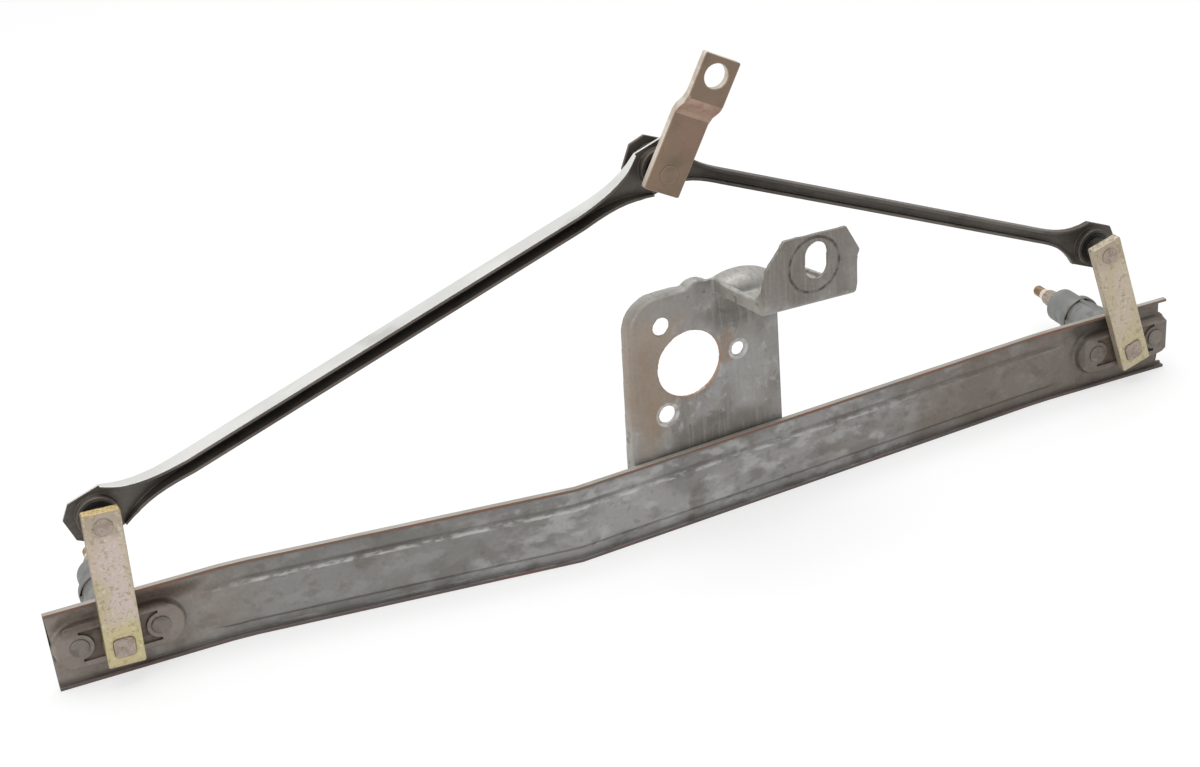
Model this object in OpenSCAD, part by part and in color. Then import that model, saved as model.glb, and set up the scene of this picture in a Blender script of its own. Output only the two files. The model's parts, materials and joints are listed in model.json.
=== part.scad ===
// Front windscreen wiper linkage: pressed rail, motor bracket, two spindles,
// two drive rods and the motor crank.
// X runs along the rail, the spindles point along +Y, +Z is up.
// The origin is the centre of the motor pilot hole, on the bracket's front face.

/* [Rail] */
// Overall length of the rail
rail_length = 600; // [540:1:680]
// Height of the rail's channel
rail_height = 41; // [40:0.5:50]
// Depth of the channel, from the web's back to the lips' edges
rail_depth = 4.2; // [3.6:0.1:8]
// Sheet thickness of the rail
rail_sheet = 1.6; // [1.2:0.1:2]
// Length of the flat seat at the left end
left_seat = 86; // [80:1:100]
// Length of the flat seat at the right end
right_seat = 79; // [74:1:95]
// Distance of the crease from the left end
crease_from_left = 248; // [200:1:300]
// How far the crease stands forward of the seats
bow = 20.6; // [5:0.2:30]
// Length of the easing facet at each seat's bend
bend_run = 12; // [4:1:16]
// How far the stiffening bead stands proud of the web
bead_proud = 1.5; // [0.8:0.1:2]
// Flat web above the bead
bead_from_top = 10; // [8:0.5:12]
// Flat web below the bead
bead_from_bottom = 6.5; // [5:0.5:9]
// How far the bead runs into each seat past the bend
bead_run_in = 14; // [10:1:16]
// Length over which the bead fades out at each end
bead_run_out = 6; // [2:0.5:8]
// How far the web is cut back between the lips at the right end
end_notch = 3; // [1:0.5:4]
// Height of web kept beside each lip at that end
notch_margin = 2.6; // [2:0.1:4]

/* [Bearing seats] */
// Spindle axis to the rail's left end
left_axis_inset = 31; // [28:0.5:36]
// Spindle axis to the rail's right end
right_axis_inset = 26; // [24:0.5:34]
// Spacing of a housing's two rivets
rivet_spacing = 37; // [34:0.5:40]
// End radius of the raised boss
boss_radius = 11; // [10:0.5:12.5]
// How far the boss stands proud of the web
boss_proud = 3.9; // [2:0.1:5]
// How much wider the boss is at its foot, on each side
boss_draft = 1.6; // [0.5:0.1:2]
// Depth of the recess in the boss between the rivet lands
boss_recess = 1.1; // [0.5:0.1:1.2]
// Radius of the round land at each rivet
rivet_land = 6.6; // [5.5:0.1:7.5]
// Diameter of the hole that the shaft passes through
shaft_hole = 15; // [14.5:0.5:16]
// Shank diameter of the rivets
rivet_shank = 5; // [4:0.5:6]
// Head diameter of the rivets
rivet_head = 9; // [7:0.2:10]
// Height of the rivet heads on the boss
rivet_head_height = 0.7; // [0.4:0.1:1.5]
// Height of the rivet tails on the housing's flange
rivet_tail_height = 1.2; // [0.6:0.1:2]

/* [Bearing housings] */
// Thickness of the housing's flange
flange_thickness = 4; // [3:0.5:6]
// Half height of the housing's flange
flange_radius = 12.5; // [12:0.5:14]
// Length of the housing's flange
flange_length = 50; // [48:0.5:51]
// Body diameter at the flange
body_root = 26; // [24:0.5:28]
// Body diameter below the rim
body_tip = 19.5; // [18.5:0.5:21]
// Distance from the web to the rim's front
rim_from_web = 35; // [30:0.5:40]
// Diameter of the rim
rim_diameter = 23; // [22:0.5:26]
// Width of the rim
rim_width = 4.5; // [3:0.5:6]
// Diameter of the nose
nose_diameter = 19; // [18:0.5:21]
// Length of the nose behind the rim
nose_length = 15; // [12:0.5:20]
// Thickness of the housing's ribs
rib_thickness = 2.4; // [1.6:0.2:3]
// Outer diameter of the bearing bushes
bush_outer = 14; // [13:0.5:14.5]
// Length of each bearing bush
bush_length = 14; // [10:0.5:20]

/* [Shafts] */
// Diameter of the wiper shaft
shaft_diameter = 10; // [8:0.5:11]
// Across flats of the squared head in the lever
square_size = 9.6; // [9:0.1:11]
// Corner radius of the squared head
square_corner = 2.2; // [1:0.1:3]
// How far the squared head stands out of the lever
head_proud = 0.6; // [0.2:0.1:1.5]
// Large diameter of the knurled cone
cone_large = 10.6; // [9:0.2:12]
// Small diameter of the knurled cone
cone_small = 8.6; // [7:0.2:9]
// Length of the knurled cone
cone_length = 9; // [6:0.5:14]
// Major diameter of the nut thread
thread_diameter = 6; // [5:1:8]
// Length of the nut thread
thread_length = 11; // [8:0.5:16]
// Shaft showing between the housing and the cone
shaft_show = 3.4; // [3:0.2:6]

/* [Levers] */
// Distance between the shaft and the ball pin
lever_reach = 62; // [56:0.5:70]
// Width of the lever's flat bar
lever_width = 17; // [16:0.5:20]
// Thickness of the lever's flat bar
lever_thickness = 5; // [4:0.5:6]
// Bar past the shaft's centre
lever_tail = 9.5; // [9:0.5:14]
// Bar past the ball pin's centre
lever_tip = 7.3; // [6:0.1:10]
// Radius of the bar's corners
bar_corner = 1; // [0.5:0.1:2]
// Lean of the left lever from upright
left_lean = 2.2; // [-10:0.1:10]
// Lean of the right lever from upright
right_lean = -16.6; // [-25:0.1:0]
// Boss face to the back of the left lever
left_lever_gap = 4.6; // [4:0.1:7]
// Boss face to the back of the right lever
right_lever_gap = 1.5; // [1.2:0.1:2.5]
// Outer diameter of the thrust washers
washer_outer = 18; // [16:0.5:20]

/* [Drive rods] */
// Crank pin's distance right of the rail's middle
pin_across = 11.5; // [-20:0.5:40]
// Crank pin's height above the spindle axes
pin_height = 161.5; // [140:0.5:180]
// Height of the left rod's channel section
left_rod_height = 7.8; // [6.5:0.1:10]
// Depth of the left rod's channel section
left_rod_depth = 9.8; // [6:0.1:10]
// Height of the right rod's channel section
right_rod_height = 7; // [6.5:0.1:10]
// Depth of the right rod's channel section
right_rod_depth = 5; // [4:0.1:10]
// Sheet thickness of the rods
rod_sheet = 1.5; // [1:0.1:1.8]
// Half height of the rods' heads
head_half = 11.8; // [11.4:0.1:13]
// Pivot to the end of a rod's head
head_end = 14; // [13:0.1:16]
// Width of the chamfers at a head's end
head_chamfer = 5.8; // [4:0.1:6.5]
// Pivot to where a head begins to narrow into the channel
head_flat = 7.5; // [4:0.5:9]
// Length over which the left rod's heads narrow to the channel
left_neck = 38; // [24:1:50]
// Length over which the right rod's heads narrow to the channel
right_neck = 30; // [20:1:50]
// Depth of the flanges beside a head, as a share of the channel's depth
dish_share = 0.62; // [0.4:0.01:0.9]
// Radius of the dished socket round the bush
socket_radius = 9.8; // [9.4:0.1:10.5]
// How far the dished socket stands forward of the head
socket_depth = 3.8; // [2:0.1:4.4]
// Outer diameter of the socket bushes
socket_bush = 15.8; // [14:0.1:16]
// Length of the socket bushes
socket_bush_length = 5.8; // [5.2:0.1:6.4]

/* [Ball pins] */
// Diameter of the pins' journals
pin_diameter = 8; // [6:0.5:9]
// Diameter of the pins' shoulders
shoulder_diameter = 12; // [11:0.5:14]
// Diameter of the riveted shank in the bars
pin_shank = 7; // [5:0.5:8]
// Length of the left lever's and the crank's shoulders
shoulder_length = 3.8; // [2:0.1:5]
// Diameter of the riveted face on the bars
pin_rivet = 8.8; // [8:0.2:11]
// Height of the riveted face
pin_rivet_height = 0.4; // [0.2:0.1:1]
// Length of the pin past its clip
pin_tail = 1; // [0.5:0.1:2]
// Thickness of the retaining clips
clip_thickness = 1; // [0.8:0.1:1.5]
// How deep the clips sit in their grooves
groove_depth = 0.75; // [0.4:0.05:1]
// How far the clips stand out of their grooves
clip_stand = 2; // [1:0.1:3]
// Opening of the clips, as a share of the groove's diameter
clip_mouth = 0.7; // [0.5:0.05:0.8]

/* [Crank] */
// Distance between the crank pin and the motor shaft hole
crank_reach = 49.6; // [44:0.2:56]
// Width of the crank
crank_width = 18.8; // [17:0.2:22]
// Thickness of the crank
crank_thickness = 4; // [3:0.5:5]
// Diameter of the motor shaft hole
crank_hole = 11.8; // [10:0.2:13]
// How far the crank steps forward between its ends
crank_step = 6.4; // [2:0.2:10]
// Height of the lower bend above the crank pin
crank_bend = 29.2; // [26:0.2:30]
// Bar past the crank pin's centre
crank_tail = 9.3; // [8:0.1:12]
// Bar past the motor shaft hole's centre
crank_tip = 9; // [8:0.1:12]
// Lean of the crank from upright
crank_lean = 28.3; // [10:0.1:50]

/* [Motor bracket] */
// Sheet thickness of the bracket
bracket_sheet = 2; // [1.5:0.1:2.5]
// Distance along the rail from the crease to the pilot hole
pilot_from_crease = 66.8; // [64:0.2:80]
// Height of the pilot hole above the spindle axes
pilot_height = 64.7; // [60:0.5:80]
// Diameter of the motor pilot hole
pilot_diameter = 34; // [30:0.5:36]
// Radius of the circle of motor bolts
bolt_circle = 27; // [25.5:0.5:29]
// Diameter of the two left bolt holes
bolt_hole_left = 9; // [8:0.5:9]
// Diameter of the right bolt hole
bolt_hole_right = 7; // [6:0.5:9]
// Pilot centre to the plate's left edge
plate_left = 31; // [30:0.5:40]
// Pilot centre to the plate's right edge
plate_right = 50; // [46:0.5:60]
// Pilot centre to the plate's top
plate_top = 38.3; // [34:0.1:40]
// Radius of the plate's top left corner
plate_corner = 17; // [10:0.5:22]
// How much further out the plate's sides stand at its foot
plate_taper = 3.6; // [0:0.1:5]
// How far the plate reaches down behind the web
plate_drop = 18; // [12:0.5:19]
// Depth of the flange round the plate's left and top
plate_flange = 8.8; // [4:0.2:12]
// Reach of the shelf from the plate's face to the ear's face
shelf_reach = 42; // [36:0.5:50]
// Rise of the shelf towards the ear
shelf_rise = 0.8; // [0:0.1:5]
// Lean of the shelf and the ear, lower on the right
shelf_lean = 2.6; // [0:0.1:4]
// Pilot centre to the underside of the shelf
shelf_height = 33.8; // [32:0.1:35]
// Height of the shelf's left flange
shelf_flange = 6.6; // [4:0.2:9]
// Height of the shelf's right flange
shelf_flange_right = 4.6; // [3:0.2:7]
// Inner radius of the shelf's bends
shelf_bend = 3; // [2:0.5:4]
// Pilot centre to the left edge of the shelf
shelf_left = 15.4; // [14:0.2:18]
// Pilot centre to the shelf's rear right corner
shelf_right = 60; // [58:0.5:66]
// Length of the stiffening swell in the shelf's rear bend
swell_length = 42; // [36:0.5:44]
// Radius of the swell about the bend's axis
swell_radius = 12.5; // [10:0.5:13]
// Shelf's left edge to the middle of the swell
swell_middle = 12; // [10:0.5:14]
// Radius of the hump where the plate's top meets the shelf
hump_radius = 8; // [6:0.5:9]
// How far the hump rises over the plate's top
hump_rise = 3.4; // [1:0.1:4]

/* [Bracket ear] */
// Pilot centre to the ear's left edge
ear_left = 18.4; // [18:0.2:22]
// Width of the ear
ear_width = 51; // [46:0.5:56]
// Height of the ear's top above the underside of the shelf's front
ear_height = 36; // [30:0.5:40]
// Width of the chamfer at the ear's top left corner
ear_chamfer_left = 10; // [6:0.5:14]
// Width of the chamfer at the ear's top right corner
ear_chamfer_right = 7.5; // [6:0.5:14]
// Height of the chamfers at the ear's top corners
ear_chamfer_z = 13; // [8:0.5:16]
// Step below the right chamfer, where the ear narrows to the shelf
ear_step = 1.2; // [0.5:0.1:2]
// Radius of the ear's lower right corner
ear_corner = 5; // [3:0.5:6]
// Width of the ear's slot
slot_width = 12; // [9:0.2:14]
// Height of the ear's slot
slot_height = 18; // [15:0.5:20]
// Ear's left edge to the slot's centre
slot_from_left = 27.4; // [24:0.2:30]
// Underside of the shelf's front to the slot's centre
slot_above_shelf = 22.8; // [20:0.2:24]

/* [Clearances] */
// Radial gap of the running fits
running_gap = 0.05; // [0.02:0.01:0.1]
// Radial gap between pieces that are pressed or riveted together
seat_gap = 0.02; // [0.01:0.01:0.05]
// Gap between faces of pieces that turn past each other
face_gap = 0.3; // [0.25:0.05:0.5]
// Play of a retaining clip along its groove, on each side
clip_play = 0.1; // [0.05:0.05:0.2]
// Radial gap at the crank pin's second socket, where the linkage's loop closes
loop_gap = 0.75; // [0.1:0.05:1]

/* [Hidden] */
$fn = 96;

// Plan of the rail
rail_end = rail_length / 2;
crease_x = crease_from_left - rail_end;
left_bend_x = left_seat - rail_end;
right_bend_x = rail_end - right_seat;
left_slope = bow / (crease_x - left_bend_x);
right_slope = bow / (right_bend_x - crease_x);
right_angle = atan(right_slope);
ease = bend_run / 2;

// Each station is [x, y, share of the bead's full height]
bead_left_x = left_bend_x - bead_run_in;
bead_right_x = right_bend_x + bead_run_in;
bead_low = bead_from_bottom - rail_height / 2;
bead_high = rail_height / 2 - bead_from_top;
rail_path = [
    [-rail_end, 0, 0],
    [bead_left_x, 0, 0],
    [bead_left_x + bead_run_out, 0, 1],
    [left_bend_x - ease, 0, 1],
    [left_bend_x + ease, -left_slope * ease, 1],
    [crease_x, -bow, 1],
    [right_bend_x - ease, -right_slope * ease, 1],
    [right_bend_x + ease, 0, 1],
    [bead_right_x - bead_run_out, 0, 1],
    [bead_right_x, 0, 0],
    [rail_end, 0, 0]
];

// Places along Y, from the web's back face at 0
boss_face = -rail_sheet - boss_proud;
hollow_front = boss_face + boss_recess + rail_sheet;
left_lever_back = boss_face - left_lever_gap;
right_lever_back = boss_face - right_lever_gap;
left_axis_x = left_axis_inset - rail_end;
right_axis_x = rail_end - right_axis_inset;
rim_end = rim_from_web + rim_width;
nose_end = rim_end + nose_length;
cone_start = nose_end + shaft_show;
cone_end = cone_start + cone_length;
shaft_end = cone_end + thread_length;
groove_width = clip_thickness + 2 * clip_play;

// Linkage pivots in the XZ plane
left_pin = [left_axis_x + lever_reach * sin(left_lean), lever_reach * cos(left_lean)];
right_pin = [right_axis_x + lever_reach * sin(right_lean), lever_reach * cos(right_lean)];
middle_pin = [pin_across, pin_height];
left_rod_length = norm(middle_pin - left_pin);
right_rod_length = norm(right_pin - middle_pin);
left_rod_angle = atan2(middle_pin[1] - left_pin[1], middle_pin[0] - left_pin[0]);
right_rod_angle = atan2(right_pin[1] - middle_pin[1], right_pin[0] - middle_pin[0]);

// Both sockets stack on the crank pin: the left rod's in front, the right rod's behind
bush_pitch = socket_bush_length + 2 * face_gap;
left_bush_front = left_lever_back + shoulder_length + face_gap;
left_rod_back = left_bush_front + socket_bush_length;
right_bush_front = left_bush_front + bush_pitch;
right_rod_back = right_bush_front + socket_bush_length;
crank_back = left_lever_back;
crank_front = crank_back - crank_thickness - crank_step - 1;

// Motor bracket, measured in its own frame: along the rail, back, up
plate_left_s = pilot_from_crease - plate_left;
plate_right_s = pilot_from_crease + plate_right;
plate_top_z = pilot_height + plate_top;
shelf_z = pilot_height + shelf_height;
shelf_left_s = pilot_from_crease + shelf_left;
shelf_right_s = pilot_from_crease + shelf_right;
shelf_outer_bend = shelf_bend + bracket_sheet;
shelf_front_z = shelf_z + shelf_rise;
ear_left_s = pilot_from_crease + ear_left;
ear_right_s = ear_left_s + ear_width;
ear_top_z = shelf_front_z + ear_height;

// The origin, at the pilot hole
pilot_x = crease_x + pilot_from_crease * cos(right_angle);
pilot_y = -bow + pilot_from_crease * sin(right_angle);

// ---- helpers ----

// Puts the rail's own frame so that the pilot hole lies at the origin
module placed() {
    translate([-pilot_x, -pilot_y, -pilot_height]) children();
}

// Turns what stands along Z so that it stands along Y
module along_y() {
    rotate([-90, 0, 0]) children();
}

// Raises a flat XZ shape between two places along Y
module slab(front, back) {
    translate([0, back, 0]) rotate([90, 0, 0]) linear_extrude(back - front) children();
}

// Sweeps a flat YZ shape between two places along X
module sweep_x(from, to) {
    translate([from, 0, 0]) rotate([90, 0, 90]) linear_extrude(to - from) children();
}

// A flat plan shape between two heights
module prism(bottom, top) {
    translate([0, 0, bottom]) linear_extrude(top - bottom) children();
}

// A rod along Y between two places, with an optional bore
module turned(front, back, diameter, bore = 0) {
    translate([0, front, 0]) along_y() difference() {
        cylinder(h = back - front, d = diameter);
        if (bore > 0) translate([0, 0, -1]) cylinder(h = back - front + 2, d = bore);
    }
}

// A rectangle with round corners
module round_rect(low, high, radius) {
    inner = [low[0] + radius, low[1] + radius];
    outer = [high[0] - radius, high[1] - radius];
    translate([low[0], inner[1]]) square([high[0] - low[0], outer[1] - inner[1]]);
    translate([inner[0], low[1]]) square([outer[0] - inner[0], high[1] - low[1]]);
    for (x = [inner[0], outer[0]], y = [inner[1], outer[1]]) translate([x, y]) circle(radius);
}

function reversed(list) = [for (i = [len(list) - 1 : -1 : 0]) list[i]];

// A stadium along X: two round ends this far apart
module stadium(spacing, radius) {
    translate([-spacing / 2, -radius]) square([spacing, 2 * radius]);
    for (side = [-1, 1]) translate([side * spacing / 2, 0]) circle(radius);
}

// ---- rail ----

// Direction of one run of the path
function run_way(i) =
    let (d = rail_path[i + 1] - rail_path[i]) [d[0], d[1]] / norm([d[0], d[1]]);

// A station's point this far back from the path, on the mitre between its two runs
function station(i, back) =
    let (last = len(rail_path) - 2)
    let (before = run_way(max(i - 1, 0)), after = run_way(min(i, last)))
    let (mean = (before + after) / norm(before + after))
    [rail_path[i][0], rail_path[i][1]] + back * [-mean[1], mean[0]] / (mean * after);

// A strip along the whole path between two distances back from it
function ribbon(front, back) = concat(
    [for (i = [0 : len(rail_path) - 1]) station(i, front)],
    [for (i = [len(rail_path) - 1 : -1 : 0]) station(i, back)]
);

// A strip along the bead's stations, whose front follows the bead's height
function bead_ribbon(front, back) = concat(
    [for (i = [1 : len(rail_path) - 2]) station(i, front - bead_proud * rail_path[i][2])],
    [for (i = [len(rail_path) - 2 : -1 : 1]) station(i, back)]
);

// The pressed channel with its hollow bead
module rail_channel() {
    half = rail_height / 2;
    difference() {
        union() {
            difference() {
                prism(-half, half) polygon(ribbon(-rail_depth, 0));
                prism(rail_sheet - half, half - rail_sheet)
                    polygon(ribbon(-rail_depth - 1, -rail_sheet));
            }
            prism(bead_low, bead_high) polygon(bead_ribbon(-rail_sheet, -rail_sheet / 2));
        }
        prism(bead_low + rail_sheet, bead_high - rail_sheet) polygon(bead_ribbon(0, 1));
    }
}

// Half height of the boss's outside at a place along Y
function boss_half(y) = boss_radius + boss_draft * (y - boss_face) / (rail_sheet + boss_proud);

// A stadium that widens from its front to its back
module drafted_stadium(front, back, front_radius, back_radius) {
    at_rivets() translate([0, front, 0]) along_y()
        cylinder(h = back - front, r1 = front_radius, r2 = back_radius);
    sweep_x(-rivet_spacing / 2, rivet_spacing / 2) polygon([
        [front, -front_radius],
        [front, front_radius],
        [back, back_radius],
        [back, -back_radius]
    ]);
}

// The raised boss of a bearing seat, without its holes
module boss_outside() {
    drafted_stadium(boss_face, -rail_sheet / 2, boss_half(boss_face), boss_half(-rail_sheet / 2));
}

// What is taken out of a boss: its hollow back, its recess and its holes
module boss_inside() {
    drafted_stadium(hollow_front, 1, boss_half(hollow_front) - rail_sheet,
                    boss_half(1) - rail_sheet);
    slab(boss_face - 1, boss_face + boss_recess) difference() {
        intersection() {
            stadium(rivet_spacing, boss_radius - 2 * rail_sheet);
            square([rivet_spacing - 1, 2 * boss_radius], center = true);
        }
        for (side = [-1, 1]) translate([side * rivet_spacing / 2, 0]) circle(rivet_land);
    }
    turned(boss_face - 1, 1, shaft_hole);
    at_rivets() turned(boss_face - 1, 1, rivet_shank + 2 * seat_gap);
}

module at_rivets() {
    for (side = [-1, 1]) translate([side * rivet_spacing / 2, 0, 0]) children();
}

module frame_rail() {
    color([0.56, 0.57, 0.55]) placed() difference() {
        union() {
            rail_channel();
            intersection() {
                for (x = [left_axis_x, right_axis_x]) translate([x, 0, 0]) boss_outside();
                translate([-rail_end, -rail_length / 2, -rail_height / 2])
                    cube([rail_length, rail_length, rail_height]);
            }
        }
        for (x = [left_axis_x, right_axis_x]) translate([x, 0, 0]) boss_inside();
        slab(-rail_sheet - 1, 1) difference() {
            translate([rail_end - end_notch, notch_margin - rail_height / 2])
                square([end_notch + 1, rail_height - 2 * notch_margin]);
            translate([right_axis_x, 0]) stadium(rivet_spacing, boss_half(0));
        }
    }
}

// ---- motor bracket ----

// Puts the bracket's own frame on the right half of the rail, behind its web
module on_right_half() {
    placed() translate([crease_x, -bow, 0]) rotate([0, 0, right_angle]) children();
}

// The plate's outline; a trim moves its left and top edges inwards
module plate_outline(trim) {
    foot_z = -plate_drop;
    corner_s = plate_left_s + plate_corner;
    corner_z = plate_top_z - plate_corner;
    bend_z = shelf_z - shelf_bend - bracket_sheet / 2;
    polygon([
        [plate_left_s - plate_taper + trim, foot_z],
        [plate_left_s + trim, corner_z],
        [corner_s, corner_z],
        [corner_s, plate_top_z - trim],
        [shelf_left_s + bracket_sheet, plate_top_z - trim],
        [shelf_left_s + bracket_sheet, bend_z],
        [plate_right_s, bend_z - tan(shelf_lean) * (plate_right_s - shelf_left_s)],
        [plate_right_s, foot_z]
    ]);
    translate([corner_s, corner_z]) circle(plate_corner - trim);
    translate([shelf_left_s - hump_radius, plate_top_z + hump_rise - hump_radius])
        circle(hump_radius - trim);
}

// A quarter of the ring that a bend makes, from its centre to the upper right
module bend_quarter() {
    intersection() {
        difference() {
            circle(shelf_outer_bend);
            circle(shelf_bend);
        }
        square(shelf_outer_bend);
    }
}

// Side profile of the rear bend, the shelf, the front bend and the ear
module shelf_profile() {
    t = bracket_sheet;
    front = -shelf_reach;
    rear_bend = [-shelf_bend, shelf_z - shelf_bend];
    front_bend = [front + shelf_outer_bend, shelf_front_z + shelf_outer_bend];
    translate(rear_bend) bend_quarter();
    translate([0, rear_bend[1] - t]) square(t);
    polygon([
        [rear_bend[0], shelf_z],
        [rear_bend[0], shelf_z + t],
        [front_bend[0], shelf_front_z + t],
        [front_bend[0], shelf_front_z]
    ]);
    translate(front_bend) rotate(180) bend_quarter();
    translate([front, front_bend[1]]) square([t, ear_top_z - front_bend[1]]);
}

// The ear's outline seen from the front
module ear_outline() {
    corner_s = ear_right_s - ear_step - ear_corner;
    polygon([
        [ear_left_s, shelf_front_z],
        [ear_left_s, ear_top_z - ear_chamfer_z],
        [ear_left_s + ear_chamfer_left, ear_top_z],
        [ear_right_s - ear_chamfer_right, ear_top_z],
        [ear_right_s, ear_top_z - ear_chamfer_z],
        [ear_right_s - ear_step, ear_top_z - ear_chamfer_z - 2 * ear_step],
        [ear_right_s - ear_step, shelf_front_z + ear_corner],
        [corner_s, shelf_front_z + ear_corner],
        [corner_s, shelf_front_z]
    ]);
    translate([corner_s, shelf_front_z + ear_corner]) circle(ear_corner);
}

// The two sides of the shelf seen from above, from its rear to its front
shelf_left_side = [
    [shelf_left_s, 2 * bracket_sheet],
    [ear_left_s, shelf_outer_bend - shelf_reach],
    [ear_left_s, -shelf_reach]
];
shelf_right_side = [
    [shelf_right_s, 0],
    [ear_right_s - ear_step, shelf_outer_bend - shelf_reach],
    [ear_right_s - ear_step, -shelf_reach]
];

// Side profile that the shelf's flanges are trimmed to
module shelf_flange_profile(height) {
    foot_z = ear_top_z - ear_chamfer_z - 2 * ear_step;
    inner_y = height - shelf_reach - 1;
    polygon([
        [2 * bracket_sheet, shelf_z - shelf_bend],
        [0, shelf_z - shelf_bend],
        [-1, shelf_z],
        [shelf_outer_bend - shelf_reach, shelf_front_z],
        [-shelf_reach, shelf_front_z + shelf_outer_bend],
        [-shelf_reach, foot_z],
        [bracket_sheet - shelf_reach, foot_z],
        [inner_y, shelf_front_z + height + 2 * bracket_sheet],
        [inner_y + 2 * bracket_sheet, shelf_front_z + height],
        [-shelf_bend, shelf_z + height],
        [bracket_sheet, shelf_z + height - bracket_sheet / 2],
        [2 * bracket_sheet, shelf_z + height - 2 * bracket_sheet]
    ]);
}

// The plate with the flange that runs round its left side and top
module bracket_plate() {
    slab(0, bracket_sheet) plate_outline(0);
    intersection() {
        slab(0, plate_flange) difference() {
            plate_outline(0);
            plate_outline(bracket_sheet);
        }
        prism(-plate_drop, plate_top_z + hump_rise + 1) polygon([
            [0, 0],
            [0, plate_flange],
            [pilot_from_crease - 2 * bracket_sheet, plate_flange],
            [shelf_left_s, bracket_sheet + 1],
            [shelf_left_s + bracket_sheet, bracket_sheet + 1],
            [shelf_left_s + bracket_sheet, 0]
        ]);
    }
}

// A strip as wide as the sheet along one side of the shelf
module side_strip(side, inwards) {
    polygon(concat(side, [for (p = reversed(side)) [p[0] + inwards * bracket_sheet, p[1]]]));
}

// Turns the shelf and the ear about the shelf's rear left corner
module leaning() {
    corner = [shelf_left_s, 0, shelf_z];
    translate(corner) rotate([0, shelf_lean, 0]) translate(-corner) children();
}

// The shelf, its flanges and the ear, without the ear's slot
module bracket_shelf() {
    rear_top = shelf_z + shelf_flange_right + 1;
    bends_low = shelf_z - shelf_bend - bracket_sheet;
    intersection() {
        sweep_x(shelf_left_s, ear_right_s) shelf_profile();
        prism(bends_low - 1, shelf_front_z + shelf_outer_bend) polygon(concat(
            shelf_left_side,
            reversed(shelf_right_side),
            [[shelf_right_s, -shelf_bend], [plate_right_s, -shelf_bend],
             [plate_right_s, bracket_sheet]]
        ));
    }
    intersection() {
        sweep_x(ear_left_s, ear_right_s) shelf_profile();
        slab(-shelf_reach, bracket_sheet - shelf_reach) ear_outline();
    }
    prism(shelf_z, shelf_z + bracket_sheet)
        translate([plate_right_s, -shelf_bend]) square([shelf_right_s - plate_right_s, shelf_bend]);
    prism(shelf_z, rear_top) translate([plate_right_s, -bracket_sheet])
        square([shelf_right_s - plate_right_s, bracket_sheet]);
    intersection() {
        sweep_x(shelf_left_s, ear_left_s + bracket_sheet) shelf_flange_profile(shelf_flange);
        prism(bends_low, ear_top_z) side_strip(shelf_left_side, 1);
    }
    intersection() {
        sweep_x(plate_right_s, ear_right_s) shelf_flange_profile(shelf_flange_right);
        prism(bends_low, ear_top_z) side_strip(shelf_right_side, -1);
    }
}

// A barrel along the rear bend, cut off at the shelf's left edge: the pressed swell
module swell(trim) {
    arc = (swell_length * swell_length / 4 + swell_radius * swell_radius) / (2 * swell_radius);
    translate([shelf_left_s + swell_middle, -shelf_bend, shelf_z - shelf_bend])
        rotate([0, 90, 0]) rotate_extrude() intersection() {
            translate([swell_radius - arc, 0]) circle(arc - trim);
            translate([0, trim - swell_middle]) square([arc, arc + swell_middle]);
        }
}

module motor_bracket() {
    color([0.6, 0.6, 0.57]) on_right_half() difference() {
        union() {
            bracket_plate();
            leaning() bracket_shelf();
            leaning() swell(0);
        }
        leaning() swell(bracket_sheet);
        leaning() translate([shelf_left_s - 1, -shelf_reach, shelf_z - 2 * swell_radius])
            cube([ear_width + 2 * shelf_outer_bend, shelf_reach, 2 * swell_radius]);
        leaning() ear_slot();
        translate([pilot_from_crease, 0, pilot_height]) motor_holes();
    }
}

// The upright slot through the ear
module ear_slot() {
    translate([ear_left_s + slot_from_left, 0, shelf_front_z + slot_above_shelf])
        slab(-shelf_reach - 1, bracket_sheet - shelf_reach + 1) rotate(90)
            stadium(slot_height - slot_width, slot_width / 2);
}

// The pilot hole and the three bolt holes
module motor_holes() {
    turned(-1, bracket_sheet + 1, pilot_diameter);
    for (hole = [[0, bolt_hole_right], [120, bolt_hole_left], [240, bolt_hole_left]])
        rotate([0, -hole[0], 0]) translate([bolt_circle, 0, 0])
            turned(-1, bracket_sheet + 1, hole[1]);
}

// ---- spindles ----

module left_seat_frame() {
    placed() translate([left_axis_x, 0, 0]) children();
}

module right_seat_frame() {
    placed() translate([right_axis_x, 0, 0]) children();
}

// The flange's outline: a stadium with its ends cut square
module flange_shape(half_height) {
    intersection() {
        stadium(rivet_spacing, half_height);
        square([flange_length, 2 * half_height], center = true);
    }
}

module housing() {
    rib_root = rivet_spacing / 2 - rivet_head / 2;
    color([0.52, 0.55, 0.6]) difference() {
        union() {
            slab(0, flange_thickness) flange_shape(flange_radius);
            slab(hollow_front, 1) flange_shape(boss_half(hollow_front) - rail_sheet - face_gap);
            translate([0, flange_thickness, 0]) along_y()
                cylinder(h = rim_from_web - flange_thickness, d1 = body_root, d2 = body_tip);
            turned(rim_from_web, rim_end, rim_diameter);
            turned(rim_end, nose_end, nose_diameter);
            for (turn = [0, 180]) rotate([0, turn, 0])
                prism(-rib_thickness / 2, rib_thickness / 2) polygon([
                    [0, flange_thickness],
                    [rib_root, flange_thickness],
                    [body_tip / 2 + 1, rim_from_web],
                    [0, rim_from_web]
                ]);
            for (turn = [90, 270]) rotate([0, turn, 0])
                prism(-rib_thickness / 2, rib_thickness / 2) polygon([
                    [0, flange_thickness],
                    [flange_radius, flange_thickness],
                    [body_tip / 2 + 1, rim_from_web],
                    [0, rim_from_web]
                ]);
        }
        turned(hollow_front - 1, nose_end + 1, bush_outer + 2 * seat_gap);
        at_rivets() turned(hollow_front - 1, flange_thickness + 1, rivet_shank + 2 * seat_gap);
    }
}

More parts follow.
